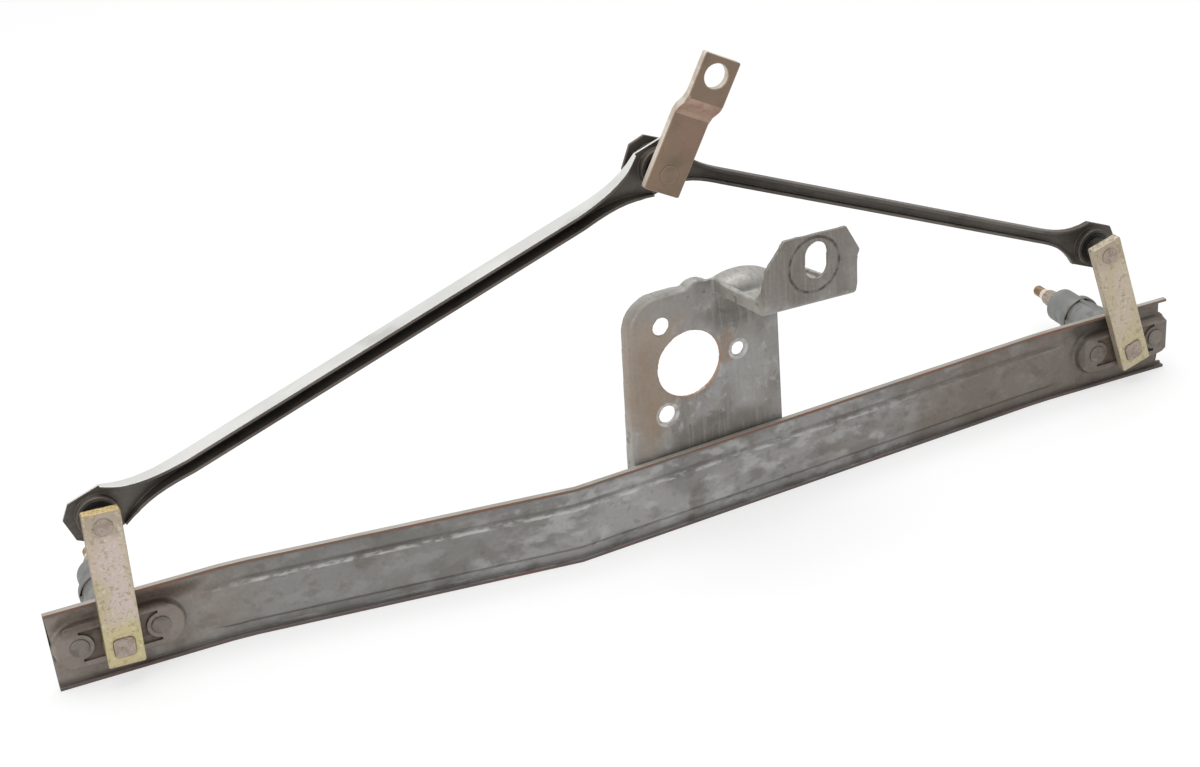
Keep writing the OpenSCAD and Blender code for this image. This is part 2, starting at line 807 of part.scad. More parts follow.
module housing_rivets() {
    color([0.5, 0.5, 0.5]) at_rivets() {
        turned(boss_face - rivet_head_height, boss_face, rivet_head);
        turned(boss_face, flange_thickness, rivet_shank);
        turned(flange_thickness, flange_thickness + rivet_tail_height, rivet_head);
    }
}

module bearing_bush(front) {
    color([0.62, 0.5, 0.3])
        turned(front, front + bush_length, bush_outer, shaft_diameter + 2 * running_gap);
}

module wiper_shaft(lever_back, lean) {
    lever_front = lever_back - lever_thickness;
    half = square_size / 2;
    core = shaft_diameter - 2 * groove_depth;
    groove_front = nose_end + face_gap;
    color([0.7, 0.66, 0.62]) {
        rotate([0, lean, 0]) slab(lever_front - head_proud, lever_back)
            round_rect([-half, -half], [half, half], square_corner);
        turned(lever_front, cone_start, core);
        turned(lever_back, groove_front, shaft_diameter);
        turned(groove_front + groove_width, cone_start, shaft_diameter);
        translate([0, cone_start, 0]) along_y()
            cylinder(h = cone_length, d1 = cone_large, d2 = cone_small);
        turned(cone_start, shaft_end, thread_diameter);
    }
}

module thrust_washer(lever_back) {
    color([0.3, 0.3, 0.3])
        turned(lever_back, boss_face - face_gap, washer_outer, shaft_diameter + 2 * seat_gap);
}

// A spring clip, open on one side, that sits in a groove
module spring_clip(front, shaft) {
    core = shaft - 2 * groove_depth + 2 * seat_gap;
    color([0.25, 0.25, 0.27]) difference() {
        turned(front, front + clip_thickness, shaft + 2 * clip_stand, core);
        translate([-core * clip_mouth / 2, front - 1, 0])
            cube([core * clip_mouth, clip_thickness + 2, shaft]);
    }
}

module shaft_clip() {
    spring_clip(nose_end + face_gap + clip_play, shaft_diameter);
}

// ---- levers ----

module lever(lever_back, lean) {
    half = lever_width / 2;
    square_half = square_size / 2 + seat_gap;
    color([0.75, 0.68, 0.4]) rotate([0, lean, 0]) difference() {
        slab(lever_back - lever_thickness, lever_back) difference() {
            round_rect([-half, -lever_tail], [half, lever_reach + lever_tip], bar_corner);
            round_rect([-square_half, -square_half], [square_half, square_half], square_corner);
        }
        translate([0, 0, lever_reach])
            turned(lever_back - lever_thickness - 1, lever_back + 1, pin_shank + 2 * seat_gap);
    }
}

// A riveted pin: its shank fills the bar, its shoulder carries the socket bushes
module riveted_pin(bar_front, bar_back, bush_front, bush_back) {
    groove_front = bush_back + face_gap - clip_play;
    groove_back = groove_front + groove_width;
    color([0.66, 0.6, 0.56]) {
        turned(bar_front - pin_rivet_height, bar_front, pin_rivet);
        turned(bar_front, bar_back, pin_shank);
        turned(bar_back, bush_front - face_gap, shoulder_diameter);
        turned(bar_back, groove_front, pin_diameter);
        turned(groove_front, groove_back, pin_diameter - 2 * groove_depth);
        turned(groove_back, groove_back + pin_tail, pin_diameter);
    }
}

module pin_clip(bush_back) {
    spring_clip(bush_back + face_gap, pin_diameter);
}

module at_pivot(point) {
    placed() translate([point[0], 0, point[1]]) children();
}

// ---- drive rods ----

// Half height of a rod along its neck, as a share of the neck's length
function neck_half(share, height) =
    height / 2 + (head_half - height / 2) * pow(1 - share, 3);

neck_steps = 8;

// Upper edge of a rod, from one head to the other
function upper_edge(span, height, neck) = concat(
    [for (i = [0 : neck_steps])
        [head_flat + i / neck_steps * neck, neck_half(i / neck_steps, height)]],
    [for (i = [neck_steps : -1 : 0])
        [span - head_flat - i / neck_steps * neck, neck_half(i / neck_steps, height)]]
);

// Upper edge of a rod's head, from its end towards the rod
head_edge = [
    [-head_end, head_half - head_chamfer],
    [head_chamfer - head_end, head_half],
    [head_flat, head_half]
];

// The flat outline of a rod: two faceted heads and the necks between
module rod_outline(span, edge) {
    polygon(concat(edge, [for (p = reversed(edge)) [p[0], -p[1]]]));
    for (end = [[0, 1], [span, -1]]) polygon(concat(
        [for (p = head_edge) [end[0] + end[1] * p[0], p[1]]],
        [for (p = reversed(head_edge)) [end[0] + end[1] * p[0], -p[1]]]
    ));
}

// Where the flanges end along the rod, seen from above: shallow at the heads
module flange_reach(span, back, depth, neck) {
    edge = [
        [head_flat - 1, back],
        [head_flat - 1, back - 2 * rod_sheet],
        [head_flat + neck / 5, back - dish_share * depth],
        [head_flat + neck, back - depth]
    ];
    polygon(concat(edge, [for (p = reversed(edge)) [span - p[0], p[1]]]));
}

// A pressed channel rod with a dished socket at each end
module rod(span, back, height, depth, neck) {
    edge = upper_edge(span, height, neck);
    web_front = back - rod_sheet;
    color([0.3, 0.3, 0.3]) difference() {
        union() {
            slab(web_front, back) rod_outline(span, edge);
            intersection() {
                slab(back - depth, back) for (side = [-1, 1])
                    polygon(concat(
                        [for (p = edge) [p[0], side * p[1]]],
                        [for (p = reversed(edge)) [p[0], side * (p[1] - rod_sheet)]]
                    ));
                prism(-2 * head_half, 2 * head_half) flange_reach(span, back, depth, neck);
            }
            for (x = [0, span]) translate([x, 0, 0])
                turned(web_front - socket_depth, back, 2 * socket_radius);
        }
        for (x = [0, span]) translate([x, 0, 0])
            turned(web_front - socket_depth - 1, back + 1, socket_bush + 2 * seat_gap);
    }
}

module socket_bush(front, gap) {
    color([0.12, 0.12, 0.12])
        turned(front, front + socket_bush_length, socket_bush, pin_diameter + 2 * gap);
}

// ---- crank ----

module crank_profile() {
    front = crank_back - crank_thickness;
    bend_trim = crank_thickness * tan(45 / 2);
    upper_bend = crank_bend + crank_step;
    top = crank_reach + crank_tip;
    polygon([
        [front, -crank_tail],
        [front, crank_bend],
        [front - crank_step, upper_bend],
        [front - crank_step, top],
        [crank_back - crank_step, top],
        [crank_back - crank_step, upper_bend + bend_trim],
        [crank_back, crank_bend + bend_trim],
        [crank_back, -crank_tail]
    ]);
}

// ---- the sub-parts ----

module left_bearing_housing() { left_seat_frame() housing(); }
module right_bearing_housing() { right_seat_frame() housing(); }
module left_housing_rivets() { left_seat_frame() housing_rivets(); }
module right_housing_rivets() { right_seat_frame() housing_rivets(); }
module left_front_bush() { left_seat_frame() bearing_bush(hollow_front); }
module left_rear_bush() { left_seat_frame() bearing_bush(nose_end - bush_length); }
module right_front_bush() { right_seat_frame() bearing_bush(hollow_front); }
module right_rear_bush() { right_seat_frame() bearing_bush(nose_end - bush_length); }
module left_wiper_shaft() { left_seat_frame() wiper_shaft(left_lever_back, left_lean); }
module right_wiper_shaft() { right_seat_frame() wiper_shaft(right_lever_back, right_lean); }
module left_thrust_washer() { left_seat_frame() thrust_washer(left_lever_back); }
module right_thrust_washer() { right_seat_frame() thrust_washer(right_lever_back); }
module left_shaft_clip() { left_seat_frame() shaft_clip(); }
module right_shaft_clip() { right_seat_frame() shaft_clip(); }
module left_lever() { left_seat_frame() lever(left_lever_back, left_lean); }
module right_lever() { right_seat_frame() lever(right_lever_back, right_lean); }

module left_lever_pin() {
    at_pivot(left_pin) riveted_pin(left_lever_back - lever_thickness, left_lever_back,
                                   left_bush_front, left_rod_back);
}

module right_lever_pin() {
    at_pivot(right_pin) riveted_pin(right_lever_back - lever_thickness, right_lever_back,
                                    right_bush_front, right_rod_back);
}

module left_pin_clip() { at_pivot(left_pin) pin_clip(left_rod_back); }
module right_pin_clip() { at_pivot(right_pin) pin_clip(right_rod_back); }

module left_rod() {
    at_pivot(left_pin) rotate([0, -left_rod_angle, 0])
        rod(left_rod_length, left_rod_back, left_rod_height, left_rod_depth, left_neck);
}

module right_rod() {
    at_pivot(middle_pin) rotate([0, -right_rod_angle, 0])
        rod(right_rod_length, right_rod_back, right_rod_height, right_rod_depth, right_neck);
}

module left_rod_lever_bush() { at_pivot(left_pin) socket_bush(left_bush_front, running_gap); }
module left_rod_crank_bush() { at_pivot(middle_pin) socket_bush(left_bush_front, running_gap); }
module right_rod_lever_bush() { at_pivot(right_pin) socket_bush(right_bush_front, running_gap); }
module right_rod_crank_bush() { at_pivot(middle_pin) socket_bush(right_bush_front, loop_gap); }

module crank_arm() {
    half = crank_width / 2;
    color([0.55, 0.52, 0.48]) at_pivot(middle_pin) rotate([0, crank_lean, 0]) difference() {
        intersection() {
            sweep_x(-half, half) crank_profile();
            slab(crank_front, crank_back + 1)
                round_rect([-half, -crank_tail], [half, crank_reach + crank_tip], bar_corner);
        }
        turned(crank_front, crank_back + 1, pin_shank + 2 * seat_gap);
        translate([0, 0, crank_reach]) turned(crank_front, crank_back + 1, crank_hole);
    }
}

module crank_pin() {
    at_pivot(middle_pin) riveted_pin(crank_back - crank_thickness, crank_back,
                                     left_bush_front, right_rod_back);
}

module crank_pin_clip() { at_pivot(middle_pin) pin_clip(right_rod_back); }

frame_rail();
motor_bracket();
left_bearing_housing();
right_bearing_housing();
left_housing_rivets();
right_housing_rivets();
left_front_bush();
left_rear_bush();
right_front_bush();
right_rear_bush();
left_wiper_shaft();
right_wiper_shaft();
left_thrust_washer();
right_thrust_washer();
left_shaft_clip();
right_shaft_clip();
left_lever();
right_lever();
left_lever_pin();
right_lever_pin();
left_pin_clip();
right_pin_clip();
left_rod();
right_rod();
left_rod_lever_bush();
left_rod_crank_bush();
right_rod_lever_bush();
right_rod_crank_bush();
crank_arm();
crank_pin();
crank_pin_clip();
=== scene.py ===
import json
import math
import bmesh
import bpy
from mathutils import Matrix, Vector

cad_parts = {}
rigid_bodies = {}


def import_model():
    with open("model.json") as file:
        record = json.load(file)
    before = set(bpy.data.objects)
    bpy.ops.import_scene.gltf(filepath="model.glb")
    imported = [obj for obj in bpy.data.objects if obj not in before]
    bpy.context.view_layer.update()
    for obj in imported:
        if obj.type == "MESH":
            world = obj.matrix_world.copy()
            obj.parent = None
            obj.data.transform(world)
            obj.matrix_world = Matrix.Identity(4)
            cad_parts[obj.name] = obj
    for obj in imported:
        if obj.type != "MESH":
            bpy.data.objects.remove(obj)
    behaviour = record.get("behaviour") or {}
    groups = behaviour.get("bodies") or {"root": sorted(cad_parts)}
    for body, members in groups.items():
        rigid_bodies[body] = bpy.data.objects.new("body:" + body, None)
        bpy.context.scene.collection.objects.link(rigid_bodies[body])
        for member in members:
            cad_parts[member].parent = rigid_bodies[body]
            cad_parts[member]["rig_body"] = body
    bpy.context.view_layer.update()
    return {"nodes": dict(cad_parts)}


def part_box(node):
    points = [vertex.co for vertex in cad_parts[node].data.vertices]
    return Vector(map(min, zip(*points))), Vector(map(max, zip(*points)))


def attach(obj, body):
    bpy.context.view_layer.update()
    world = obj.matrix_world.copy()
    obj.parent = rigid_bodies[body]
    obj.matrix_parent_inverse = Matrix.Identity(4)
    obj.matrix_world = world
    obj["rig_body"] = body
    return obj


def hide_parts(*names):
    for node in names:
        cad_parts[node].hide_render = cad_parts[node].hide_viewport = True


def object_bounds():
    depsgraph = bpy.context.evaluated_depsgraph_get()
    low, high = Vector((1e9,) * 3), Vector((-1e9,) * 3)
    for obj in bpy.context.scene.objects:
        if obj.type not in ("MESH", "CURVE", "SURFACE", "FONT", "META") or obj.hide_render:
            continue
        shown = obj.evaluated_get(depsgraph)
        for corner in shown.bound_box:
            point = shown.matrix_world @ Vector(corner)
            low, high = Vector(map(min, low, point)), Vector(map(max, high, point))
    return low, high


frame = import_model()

nodes = frame["nodes"]


# ---- Camera ----
# A 60 mm lens just under a metre away looks down at the linkage from the left and the
# front, rolled a little to the right.
camera_data = bpy.data.cameras.new("camera")
camera_data.lens = 60.0
camera_data.sensor_width = 36.0
camera = bpy.data.objects.new("camera", camera_data)
bpy.context.scene.collection.objects.link(camera)
turned_right, tilted_down, rolled_right = (math.radians(angle) for angle in (20.620, 27.430, 5.273))
camera.matrix_world = (Matrix.Translation((-0.3392, -0.7784, 0.4340))
                       @ Matrix.Rotation(-turned_right, 4, "Z")
                       @ Matrix.Rotation(math.radians(90) - tilted_down, 4, "X")
                       @ Matrix.Rotation(-rolled_right, 4, "Z"))
camera_data.clip_start = 0.05
camera_data.clip_end = 20.0
bpy.context.scene.camera = camera

# ---- Table and light ----
# The linkage stands on the lower lip of its rail, on a plain white table that fades
# into a white room, under two large soft lamps.


def tone(code):
    """A written colour such as 7a6a58 as the linear values that a shader takes."""
    parts = [int(code[i:i + 2], 16) / 255 for i in (0, 2, 4)]
    return tuple(((p + 0.055) / 1.055) ** 2.4 if p > 0.04045 else p / 12.92 for p in parts) + (1.0,)


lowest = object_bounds()[0]
bpy.ops.object.select_all(action="DESELECT")
bpy.ops.mesh.primitive_plane_add(size=40.0, location=(0.0, 1.0, lowest[2]))
floor = bpy.context.object
floor.name = "floor"
paper = bpy.data.materials.new("white_paper")
paper.use_nodes = True
shader = paper.node_tree.nodes["Principled BSDF"]
shader.inputs["Base Color"].default_value = (0.9, 0.9, 0.9, 1)
shader.inputs["Roughness"].default_value = 0.8
# Seen straight or in metal, the paper is mostly one even white. The rest takes shadows.
paper_links = paper.node_tree.links
ray = paper.node_tree.nodes.new("ShaderNodeLightPath")
mirrored = paper.node_tree.nodes.new("ShaderNodeMath")
mirrored.operation = "MAXIMUM"
seen = paper.node_tree.nodes.new("ShaderNodeMath")
seen.operation = "MAXIMUM"
share_white = paper.node_tree.nodes.new("ShaderNodeMath")
share_white.operation = "MULTIPLY"
share_white.inputs[1].default_value = 0.6
plain_white = paper.node_tree.nodes.new("ShaderNodeEmission")
sheet = paper.node_tree.nodes.new("ShaderNodeMixShader")
paper_links.new(ray.outputs["Is Glossy Ray"], mirrored.inputs[0])
paper_links.new(ray.outputs["Is Transmission Ray"], mirrored.inputs[1])
paper_links.new(ray.outputs["Is Camera Ray"], seen.inputs[0])
paper_links.new(mirrored.outputs[0], seen.inputs[1])
paper_links.new(seen.outputs[0], share_white.inputs[0])
paper_links.new(share_white.outputs[0], sheet.inputs["Fac"])
paper_links.new(shader.outputs["BSDF"], sheet.inputs[1])
paper_links.new(plain_white.outputs["Emission"], sheet.inputs[2])
paper_links.new(sheet.outputs["Shader"], paper.node_tree.nodes["Material Output"].inputs["Surface"])
floor.data.materials.append(paper)

world = bpy.data.worlds.new("soft_room")
world.use_nodes = True
world.node_tree.nodes["Background"].inputs["Color"].default_value = (1, 1, 1, 1)
world.node_tree.nodes["Background"].inputs["Strength"].default_value = 0.75
bpy.context.scene.world = world


def soft_lamp(name, place, aim, size, power):
    """A flat lamp at a place, turned to shine at its aim."""
    lamp_data = bpy.data.lights.new(name, "AREA")
    lamp_data.shape = "RECTANGLE"
    lamp_data.size = size[0]
    lamp_data.size_y = size[1]
    lamp_data.energy = power
    lamp = bpy.data.objects.new(name, lamp_data)
    bpy.context.scene.collection.objects.link(lamp)
    way = Vector(aim) - Vector(place)
    lamp.matrix_world = Matrix.Translation(place) @ way.to_track_quat("-Z", "Y").to_matrix().to_4x4()


soft_lamp("top_lamp", (0.0, 0.3, 1.6), (0, 0, 0), (1.6, 1.2), 16.0)
soft_lamp("left_lamp", (-1.4, -0.7, 0.9), (0, 0, 0), (0.9, 0.9), 7.0)

# ---- Rail ----
# A 1.6 mm galvanised steel channel, pressed with a long bead and two boss seats. Its
# back corners are rolled, and the sheared front edges of its lips have rusted.


class Finish:
    """A metal surface, built up as one colour over another on a single shader."""

    def __init__(self, name, colour, metallic):
        self.material = bpy.data.materials.new(name)
        self.material.use_nodes = True
        self.tree = self.material.node_tree
        self.shader = self.tree.nodes["Principled BSDF"]
        self.shader.inputs["Metallic"].default_value = metallic
        self.place = self.add("TexCoord").outputs["Object"]
        self.colour = tone(colour)

    def add(self, kind, **settings):
        """A new shader node of this kind, with its settings."""
        node = self.tree.nodes.new("ShaderNode" + kind)
        for key, value in settings.items():
            setattr(node, key, value)
        return node

    def feed(self, socket, value):
        """Links an input to another node's output, or sets it to a plain value."""
        if isinstance(value, bpy.types.NodeSocket):
            self.tree.links.new(value, socket)
        else:
            socket.default_value = value

    def noise(self, size, stretch=(1, 1, 1), detail=4.0, turned=0.0):
        """Cloudy noise whose clouds are about this many metres across."""
        mapping = self.add("Mapping")
        mapping.inputs["Rotation"].default_value = (0, turned, 0)
        mapping.inputs["Scale"].default_value = [1 / (size * s) for s in stretch]
        self.feed(mapping.inputs["Vector"], self.place)
        cloud = self.add("TexNoise")
        cloud.inputs["Scale"].default_value = 1.0
        cloud.inputs["Detail"].default_value = detail
        self.feed(cloud.inputs["Vector"], mapping.outputs["Vector"])
        return cloud.outputs["Fac"]

    def ramp(self, value, low, high, at_low=0.0, at_high=1.0):
        """A smooth step of a value between two levels."""
        step = self.add("MapRange", interpolation_type="SMOOTHSTEP")
        self.feed(step.inputs["Value"], value)
        step.inputs["From Min"].default_value = low
        step.inputs["From Max"].default_value = high
        step.inputs["To Min"].default_value = at_low
        step.inputs["To Max"].default_value = at_high
        return step.outputs["Result"]

    def times(self, first, second):
        """Two masks as one, which shows only where both do."""
        product = self.add("Math", operation="MULTIPLY")
        self.feed(product.inputs[0], first)
        self.feed(product.inputs[1], second)
        return product.outputs[0]

    def over(self, code, mask):
        """Lays a colour over what is there, as far as a mask says."""
        mix = self.add("Mix", data_type="RGBA")
        self.feed(mix.inputs["Factor"], mask)
        self.feed(mix.inputs[6], self.colour)
        self.feed(mix.inputs[7], tone(code))
        self.colour = mix.outputs[2]
        return self

    def clouds(self, code, size, low=0.45, high=0.6, share=1.0, stretch=(1, 1, 1), turned=0.0):
        """Lays a colour over in clouds, where their noise climbs from low to high."""
        return self.over(code, self.ramp(self.noise(size, stretch, 4.0, turned), low, high, 0.0, share))

    def spot(self, code, centre, reach, share=1.0, ragged=0.03):
        """A soft patch of colour round a place, with its own reach along X, Y and Z and a ragged edge.
        """
        mapping = self.add("Mapping")
        mapping.inputs["Scale"].default_value = [1 / r for r in reach]
        mapping.inputs["Location"].default_value = [-c / r for c, r in zip(centre, reach)]
        self.feed(mapping.inputs["Vector"], self.place)
        length = self.add("VectorMath", operation="LENGTH")
        self.feed(length.inputs[0], mapping.outputs["Vector"])
        rough = self.add("Math", operation="MULTIPLY_ADD")
        self.feed(rough.inputs[0], self.noise(ragged))
        wander = 0.45
        rough.inputs[1].default_value = 2 * wander
        rough.inputs[2].default_value = -wander
        edge = self.add("Math", operation="ADD")
        self.feed(edge.inputs[0], length.outputs["Value"])
        self.feed(edge.inputs[1], rough.outputs[0])
        return self.over(code, self.ramp(edge.outputs[0], 0.45, 1.0, share, 0.0))

    def ring(self, code, centre, radius, width, share=0.8, heading=0.0):
        """A thin ring on a wall that faces the front, turned about Z to the wall's heading."""
        offset = self.add("VectorMath", operation="SUBTRACT")
        self.feed(offset.inputs[0], self.place)
        offset.inputs[1].default_value = centre
        flat = self.add("Mapping")
        flat.inputs["Rotation"].default_value = (0, 0, -heading)
        self.feed(flat.inputs["Vector"], offset.outputs["Vector"])
        squash = self.add("VectorMath", operation="MULTIPLY")
        self.feed(squash.inputs[0], flat.outputs["Vector"])
        squash.inputs[1].default_value = (1, 0.3, 1)
        length = self.add("VectorMath", operation="LENGTH")
        self.feed(length.inputs[0], squash.outputs["Vector"])
        from_line = self.add("Math", operation="SUBTRACT")
        self.feed(from_line.inputs[0], length.outputs["Value"])
        from_line.inputs[1].default_value = radius
        size = self.add("Math", operation="ABSOLUTE")
        self.feed(size.inputs[0], from_line.outputs[0])
        line = self.ramp(size.outputs[0], width * 0.4, width, share, 0.0)
        return self.over(code, self.times(line, self.ramp(self.noise(0.003), 0.35, 0.6, 0.3, 1.0)))

    def band(self, code, height, reach, share, size, stretch=(1, 1, 1)):
        """Broken streaks of a colour along a line at one height."""
        parts = self.add("SeparateXYZ")
        self.feed(parts.inputs[0], self.place)
        from_line = self.add("Math", operation="SUBTRACT")
        self.feed(from_line.inputs[0], parts.outputs["Z"])
        from_line.inputs[1].default_value = height
        gap = self.add("Math", operation="ABSOLUTE")
        self.feed(gap.inputs[0], from_line.outputs[0])
        line = self.ramp(gap.outputs[0], reach * 0.3, reach, share, 0.0)
        return self.over(code, self.times(line, self.ramp(self.noise(size, stretch), 0.48, 0.62)))

    def painted_light_by_facing(self, code, front, low, high, share):
        """Painted light: another colour set by how far the surface turns from a front, as the lamps
        would light it.
        """
        flat = self.add("NewGeometry")
        dot = self.add("VectorMath", operation="DOT_PRODUCT")
        self.feed(dot.inputs[0], flat.outputs["Normal"])
        dot.inputs[1].default_value = front
        size = self.add("Math", operation="ABSOLUTE")
        self.feed(size.inputs[0], dot.outputs["Value"])
        return self.over(code, self.ramp(size.outputs[0], low, high, share, 0.0))

    def edges(self, code, width, share=0.8):
        """Wear along the edges, where a rounded normal leaves the flat one."""
        bend = self.add("Bevel", samples=6)
        bend.inputs["Radius"].default_value = width
        flat = self.add("NewGeometry")
        dot = self.add("VectorMath", operation="DOT_PRODUCT")
        self.feed(dot.inputs[0], bend.outputs["Normal"])
        self.feed(dot.inputs[1], flat.outputs["Normal"])
        worn = self.ramp(dot.outputs["Value"], 0.82, 0.985, share, 0.0)
        return self.over(code, self.times(worn, self.ramp(self.noise(0.004), 0.3, 0.6, 0.4, 1.0)))

    def shade_and_grime_hollows(self, code, depth, share=0.7):
        """Painted shade, with grime: another colour where the surface is closed in by other walls."""
        open_air = self.add("AmbientOcclusion", samples=6, only_local=True)
        open_air.inputs["Distance"].default_value = depth
        return self.over(code, self.ramp(open_air.outputs["AO"], 0.35, 0.85, share, 0.0))

    def grain(self, low, high, height, size, stretch=(1, 1, 1)):
        """Ends a finish with its roughness between two values and its fine bumps."""
        fine = self.noise(size, stretch, 3.0)
        self.feed(self.shader.inputs["Roughness"], self.ramp(fine, 0.3, 0.7, low, high))
        bump = self.add("Bump")
        bump.inputs["Strength"].default_value = 1.0
        bump.inputs["Distance"].default_value = height
        self.feed(bump.inputs["Height"], fine)
        self.feed(self.shader.inputs["Normal"], bump.outputs["Normal"])
        self.feed(self.shader.inputs["Base Color"], self.colour)
        return self.material


def welded_copy(node, name, whole_faces=True):
    """A copy of a CAD node with its triangles joined and its flat faces made whole."""
    piece = bpy.data.objects.new(name, nodes[node].data.copy())
    bpy.context.scene.collection.objects.link(piece)
    piece.data.materials.clear()
    bpy.ops.object.select_all(action="DESELECT")
    piece.select_set(True)
    bpy.context.view_layer.objects.active = piece
    if piece.data.has_custom_normals:
        bpy.ops.mesh.customdata_custom_splitnormals_clear()
    bpy.ops.object.mode_set(mode="EDIT")
    bpy.ops.mesh.select_all(action="SELECT")
    bpy.ops.mesh.remove_doubles(threshold=0.00001)
    if whole_faces:
        bpy.ops.mesh.dissolve_limited(angle_limit=math.radians(0.4))
    bpy.ops.object.mode_set(mode="OBJECT")
    return piece


def choose(piece, edges=None, faces=None):
    """Selects the edges or faces of a piece that pass a test, and leaves it in edit mode."""
    bpy.ops.object.select_all(action="DESELECT")
    piece.select_set(True)
    bpy.context.view_layer.objects.active = piece
    bpy.ops.object.mode_set(mode="EDIT")
    bpy.ops.mesh.select_mode(type="EDGE" if edges else "FACE")
    bpy.ops.mesh.select_all(action="DESELECT")
    shape = bmesh.from_edit_mesh(piece.data)
    for part in shape.edges if edges else shape.faces:
        if (edges or faces)(part):
            part.select_set(True)
    shape.select_flush_mode()
    bmesh.update_edit_mesh(piece.data)


def roll_edges(piece, test, radius, segments=4):
    """Rounds the edges that pass a test, as a bend does."""
    choose(piece, edges=test)
    bpy.ops.mesh.bevel(offset=radius, segments=segments, affect="EDGES", clamp_overlap=False)
    bpy.ops.object.mode_set(mode="OBJECT")


def finish_edges(piece, width, sharp=35.0, segments=2):
    """Breaks every sharp edge of a piece by a width, if it has one, and shades it smooth."""
    if width:
        break_edges = piece.modifiers.new("break_edges", "BEVEL")
        break_edges.width = width
        break_edges.segments = segments
        break_edges.limit_method = "ANGLE"
        break_edges.angle_limit = math.radians(sharp)
        break_edges.use_clamp_overlap = False
        bpy.ops.object.modifier_apply(modifier=break_edges.name)
        bpy.ops.object.mode_set(mode="EDIT")
        bpy.ops.mesh.select_all(action="SELECT")
        # What the bevel leaves on one spot is joined.
        bpy.ops.mesh.remove_doubles(threshold=0.0000005)
        bpy.ops.object.mode_set(mode="OBJECT")
    bpy.ops.object.shade_smooth_by_angle(angle=math.radians(50))
    flats = piece.modifiers.new("flats", "WEIGHTED_NORMAL")
    flats.keep_sharp = True
    bpy.ops.object.modifier_apply(modifier=flats.name)


def dress(piece, node, slot, *materials):
    """Gives a piece its materials and its body, and lets it stand for a CAD node. Its slot is not used.
    """
    for material in materials:
        piece.data.materials.append(material)
    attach(piece, nodes[node]["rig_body"])
    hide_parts(node)


def second_coat(piece, material, test):
    """Gives the faces that pass a test another of the piece's materials."""
    index = piece.data.materials.find(material.name)
    for face in piece.data.polygons:
        if test(face.normal, face.center):
            face.material_index = index


rail_low, rail_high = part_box("frame_rail")
web_finish = Finish("galvanised_rail", "8f8d8b", 0.5)
web_finish.clouds("9a9896", 0.045, 0.42, 0.62, 0.8, (2.5, 1, 1))
web_finish.clouds("787672", 0.03, 0.48, 0.64, 0.75, (2, 1, 1), 0.3)
web_finish.clouds("adadab", 0.011, 0.5, 0.62, 0.65, (1.6, 1, 0.8), -0.5)
web_finish.clouds("6d6a66", 0.013, 0.52, 0.64, 0.6, (1.4, 1, 0.8), 0.2)
web_finish.clouds("6a665f", 0.006, 0.56, 0.7, 0.5, (1.4, 1, 1), 0.4)
web_finish.spot("767470", (-0.175, 0.0, -0.065), (0.10, 0.06, 0.05), 0.6)
# Along the top of the bead, the light streaks are scuffs with a painted highlight, and the dark streak
# at its upper edge is painted shade. The light streak low on the web is scuffs.
web_finish.band("aeadaa", -0.0562, 0.0016, 0.75, 0.0022, (2, 1, 1))
web_finish.band("c2c1be", -0.0563, 0.0012, 0.7, 0.0035, (4, 1, 1))
web_finish.band("5b5854", -0.0544, 0.0012, 0.6, 0.03, (3, 1, 1))
web_finish.band("b8b6b2", -0.0826, 0.0010, 0.6, 0.004, (6, 1, 1))
web_finish.spot("82786f", (rail_low.x + 0.02, 0.0, -0.06), (0.085, 0.06, 0.05), 0.85)
web_finish.spot("6d6258", (rail_high.x, 0.0, -0.065), (0.24, 0.06, 0.05), 0.8)
web_finish.clouds("5f564e", 0.009, 0.56, 0.7, 0.35)
# Painted shade darkens the web along the top of the left boss, where there is also a brown stain, and
# at the top and the left rim of the right boss.
web_finish.spot("4d3f34", (-0.265, 0.013, -0.0512), (0.030, 0.03, 0.0068), 0.9, 0.02)
web_finish.spot("54463a", (-0.301, 0.013, -0.0530), (0.014, 0.03, 0.0075), 0.6, 0.006)
web_finish.spot("4c4640", (0.240, 0.013, -0.0505), (0.024, 0.03, 0.0070), 0.9, 0.02)
web_finish.spot("48433e", (0.2312, 0.013, -0.0620), (0.0035, 0.03, 0.012), 0.5, 0.02)
# Painted shade darkens the web round the bosses and under the lips.
web_finish.shade_and_grime_hollows("4d4945", 0.005, 0.5).shade_and_grime_hollows("524e4a", 0.012, 0.25)
galvanised_rail = web_finish.grain(0.42, 0.62, 0.00015, 0.0016)

rust_finish = Finish("sheared_edge", "75594c", 0.2)
rust_finish.clouds("845541", 0.02, 0.5, 0.62, 0.6).clouds("6b6059", 0.03, 0.5, 0.62, 0.8)
sheared_edge = rust_finish.grain(0.6, 0.8, 0.0001, 0.001)

# The lower lip's sheared edge is a darker copy of the rusted edge: rust, with painted shade.
shaded_lower_rust_finish = Finish("shaded_lower_sheared_edge", "665552", 0.2)
shaded_lower_rust_finish.clouds("7b4f43", 0.03, 0.55, 0.66, 0.6).clouds("55504e", 0.02, 0.5, 0.62, 0.8)
shaded_lower_sheared_edge = shaded_lower_rust_finish.grain(0.6, 0.8, 0.0001, 0.001)

# The floors of the boss recesses are dark brown with grime, and painted shade darkens them further at
# their walls.
grime_and_shade_finish = Finish("grime_and_shade_recess", "655b50", 0.4)
grime_and_shade_finish.clouds("75685b", 0.012, 0.42, 0.6, 0.9).clouds("4f443b", 0.008, 0.5, 0.65, 0.8)
grime_and_shade_finish.shade_and_grime_hollows("3b332d", 0.0025, 0.8)
grime_and_shade_recess = grime_and_shade_finish.grain(0.5, 0.7, 0.0001, 0.0015)

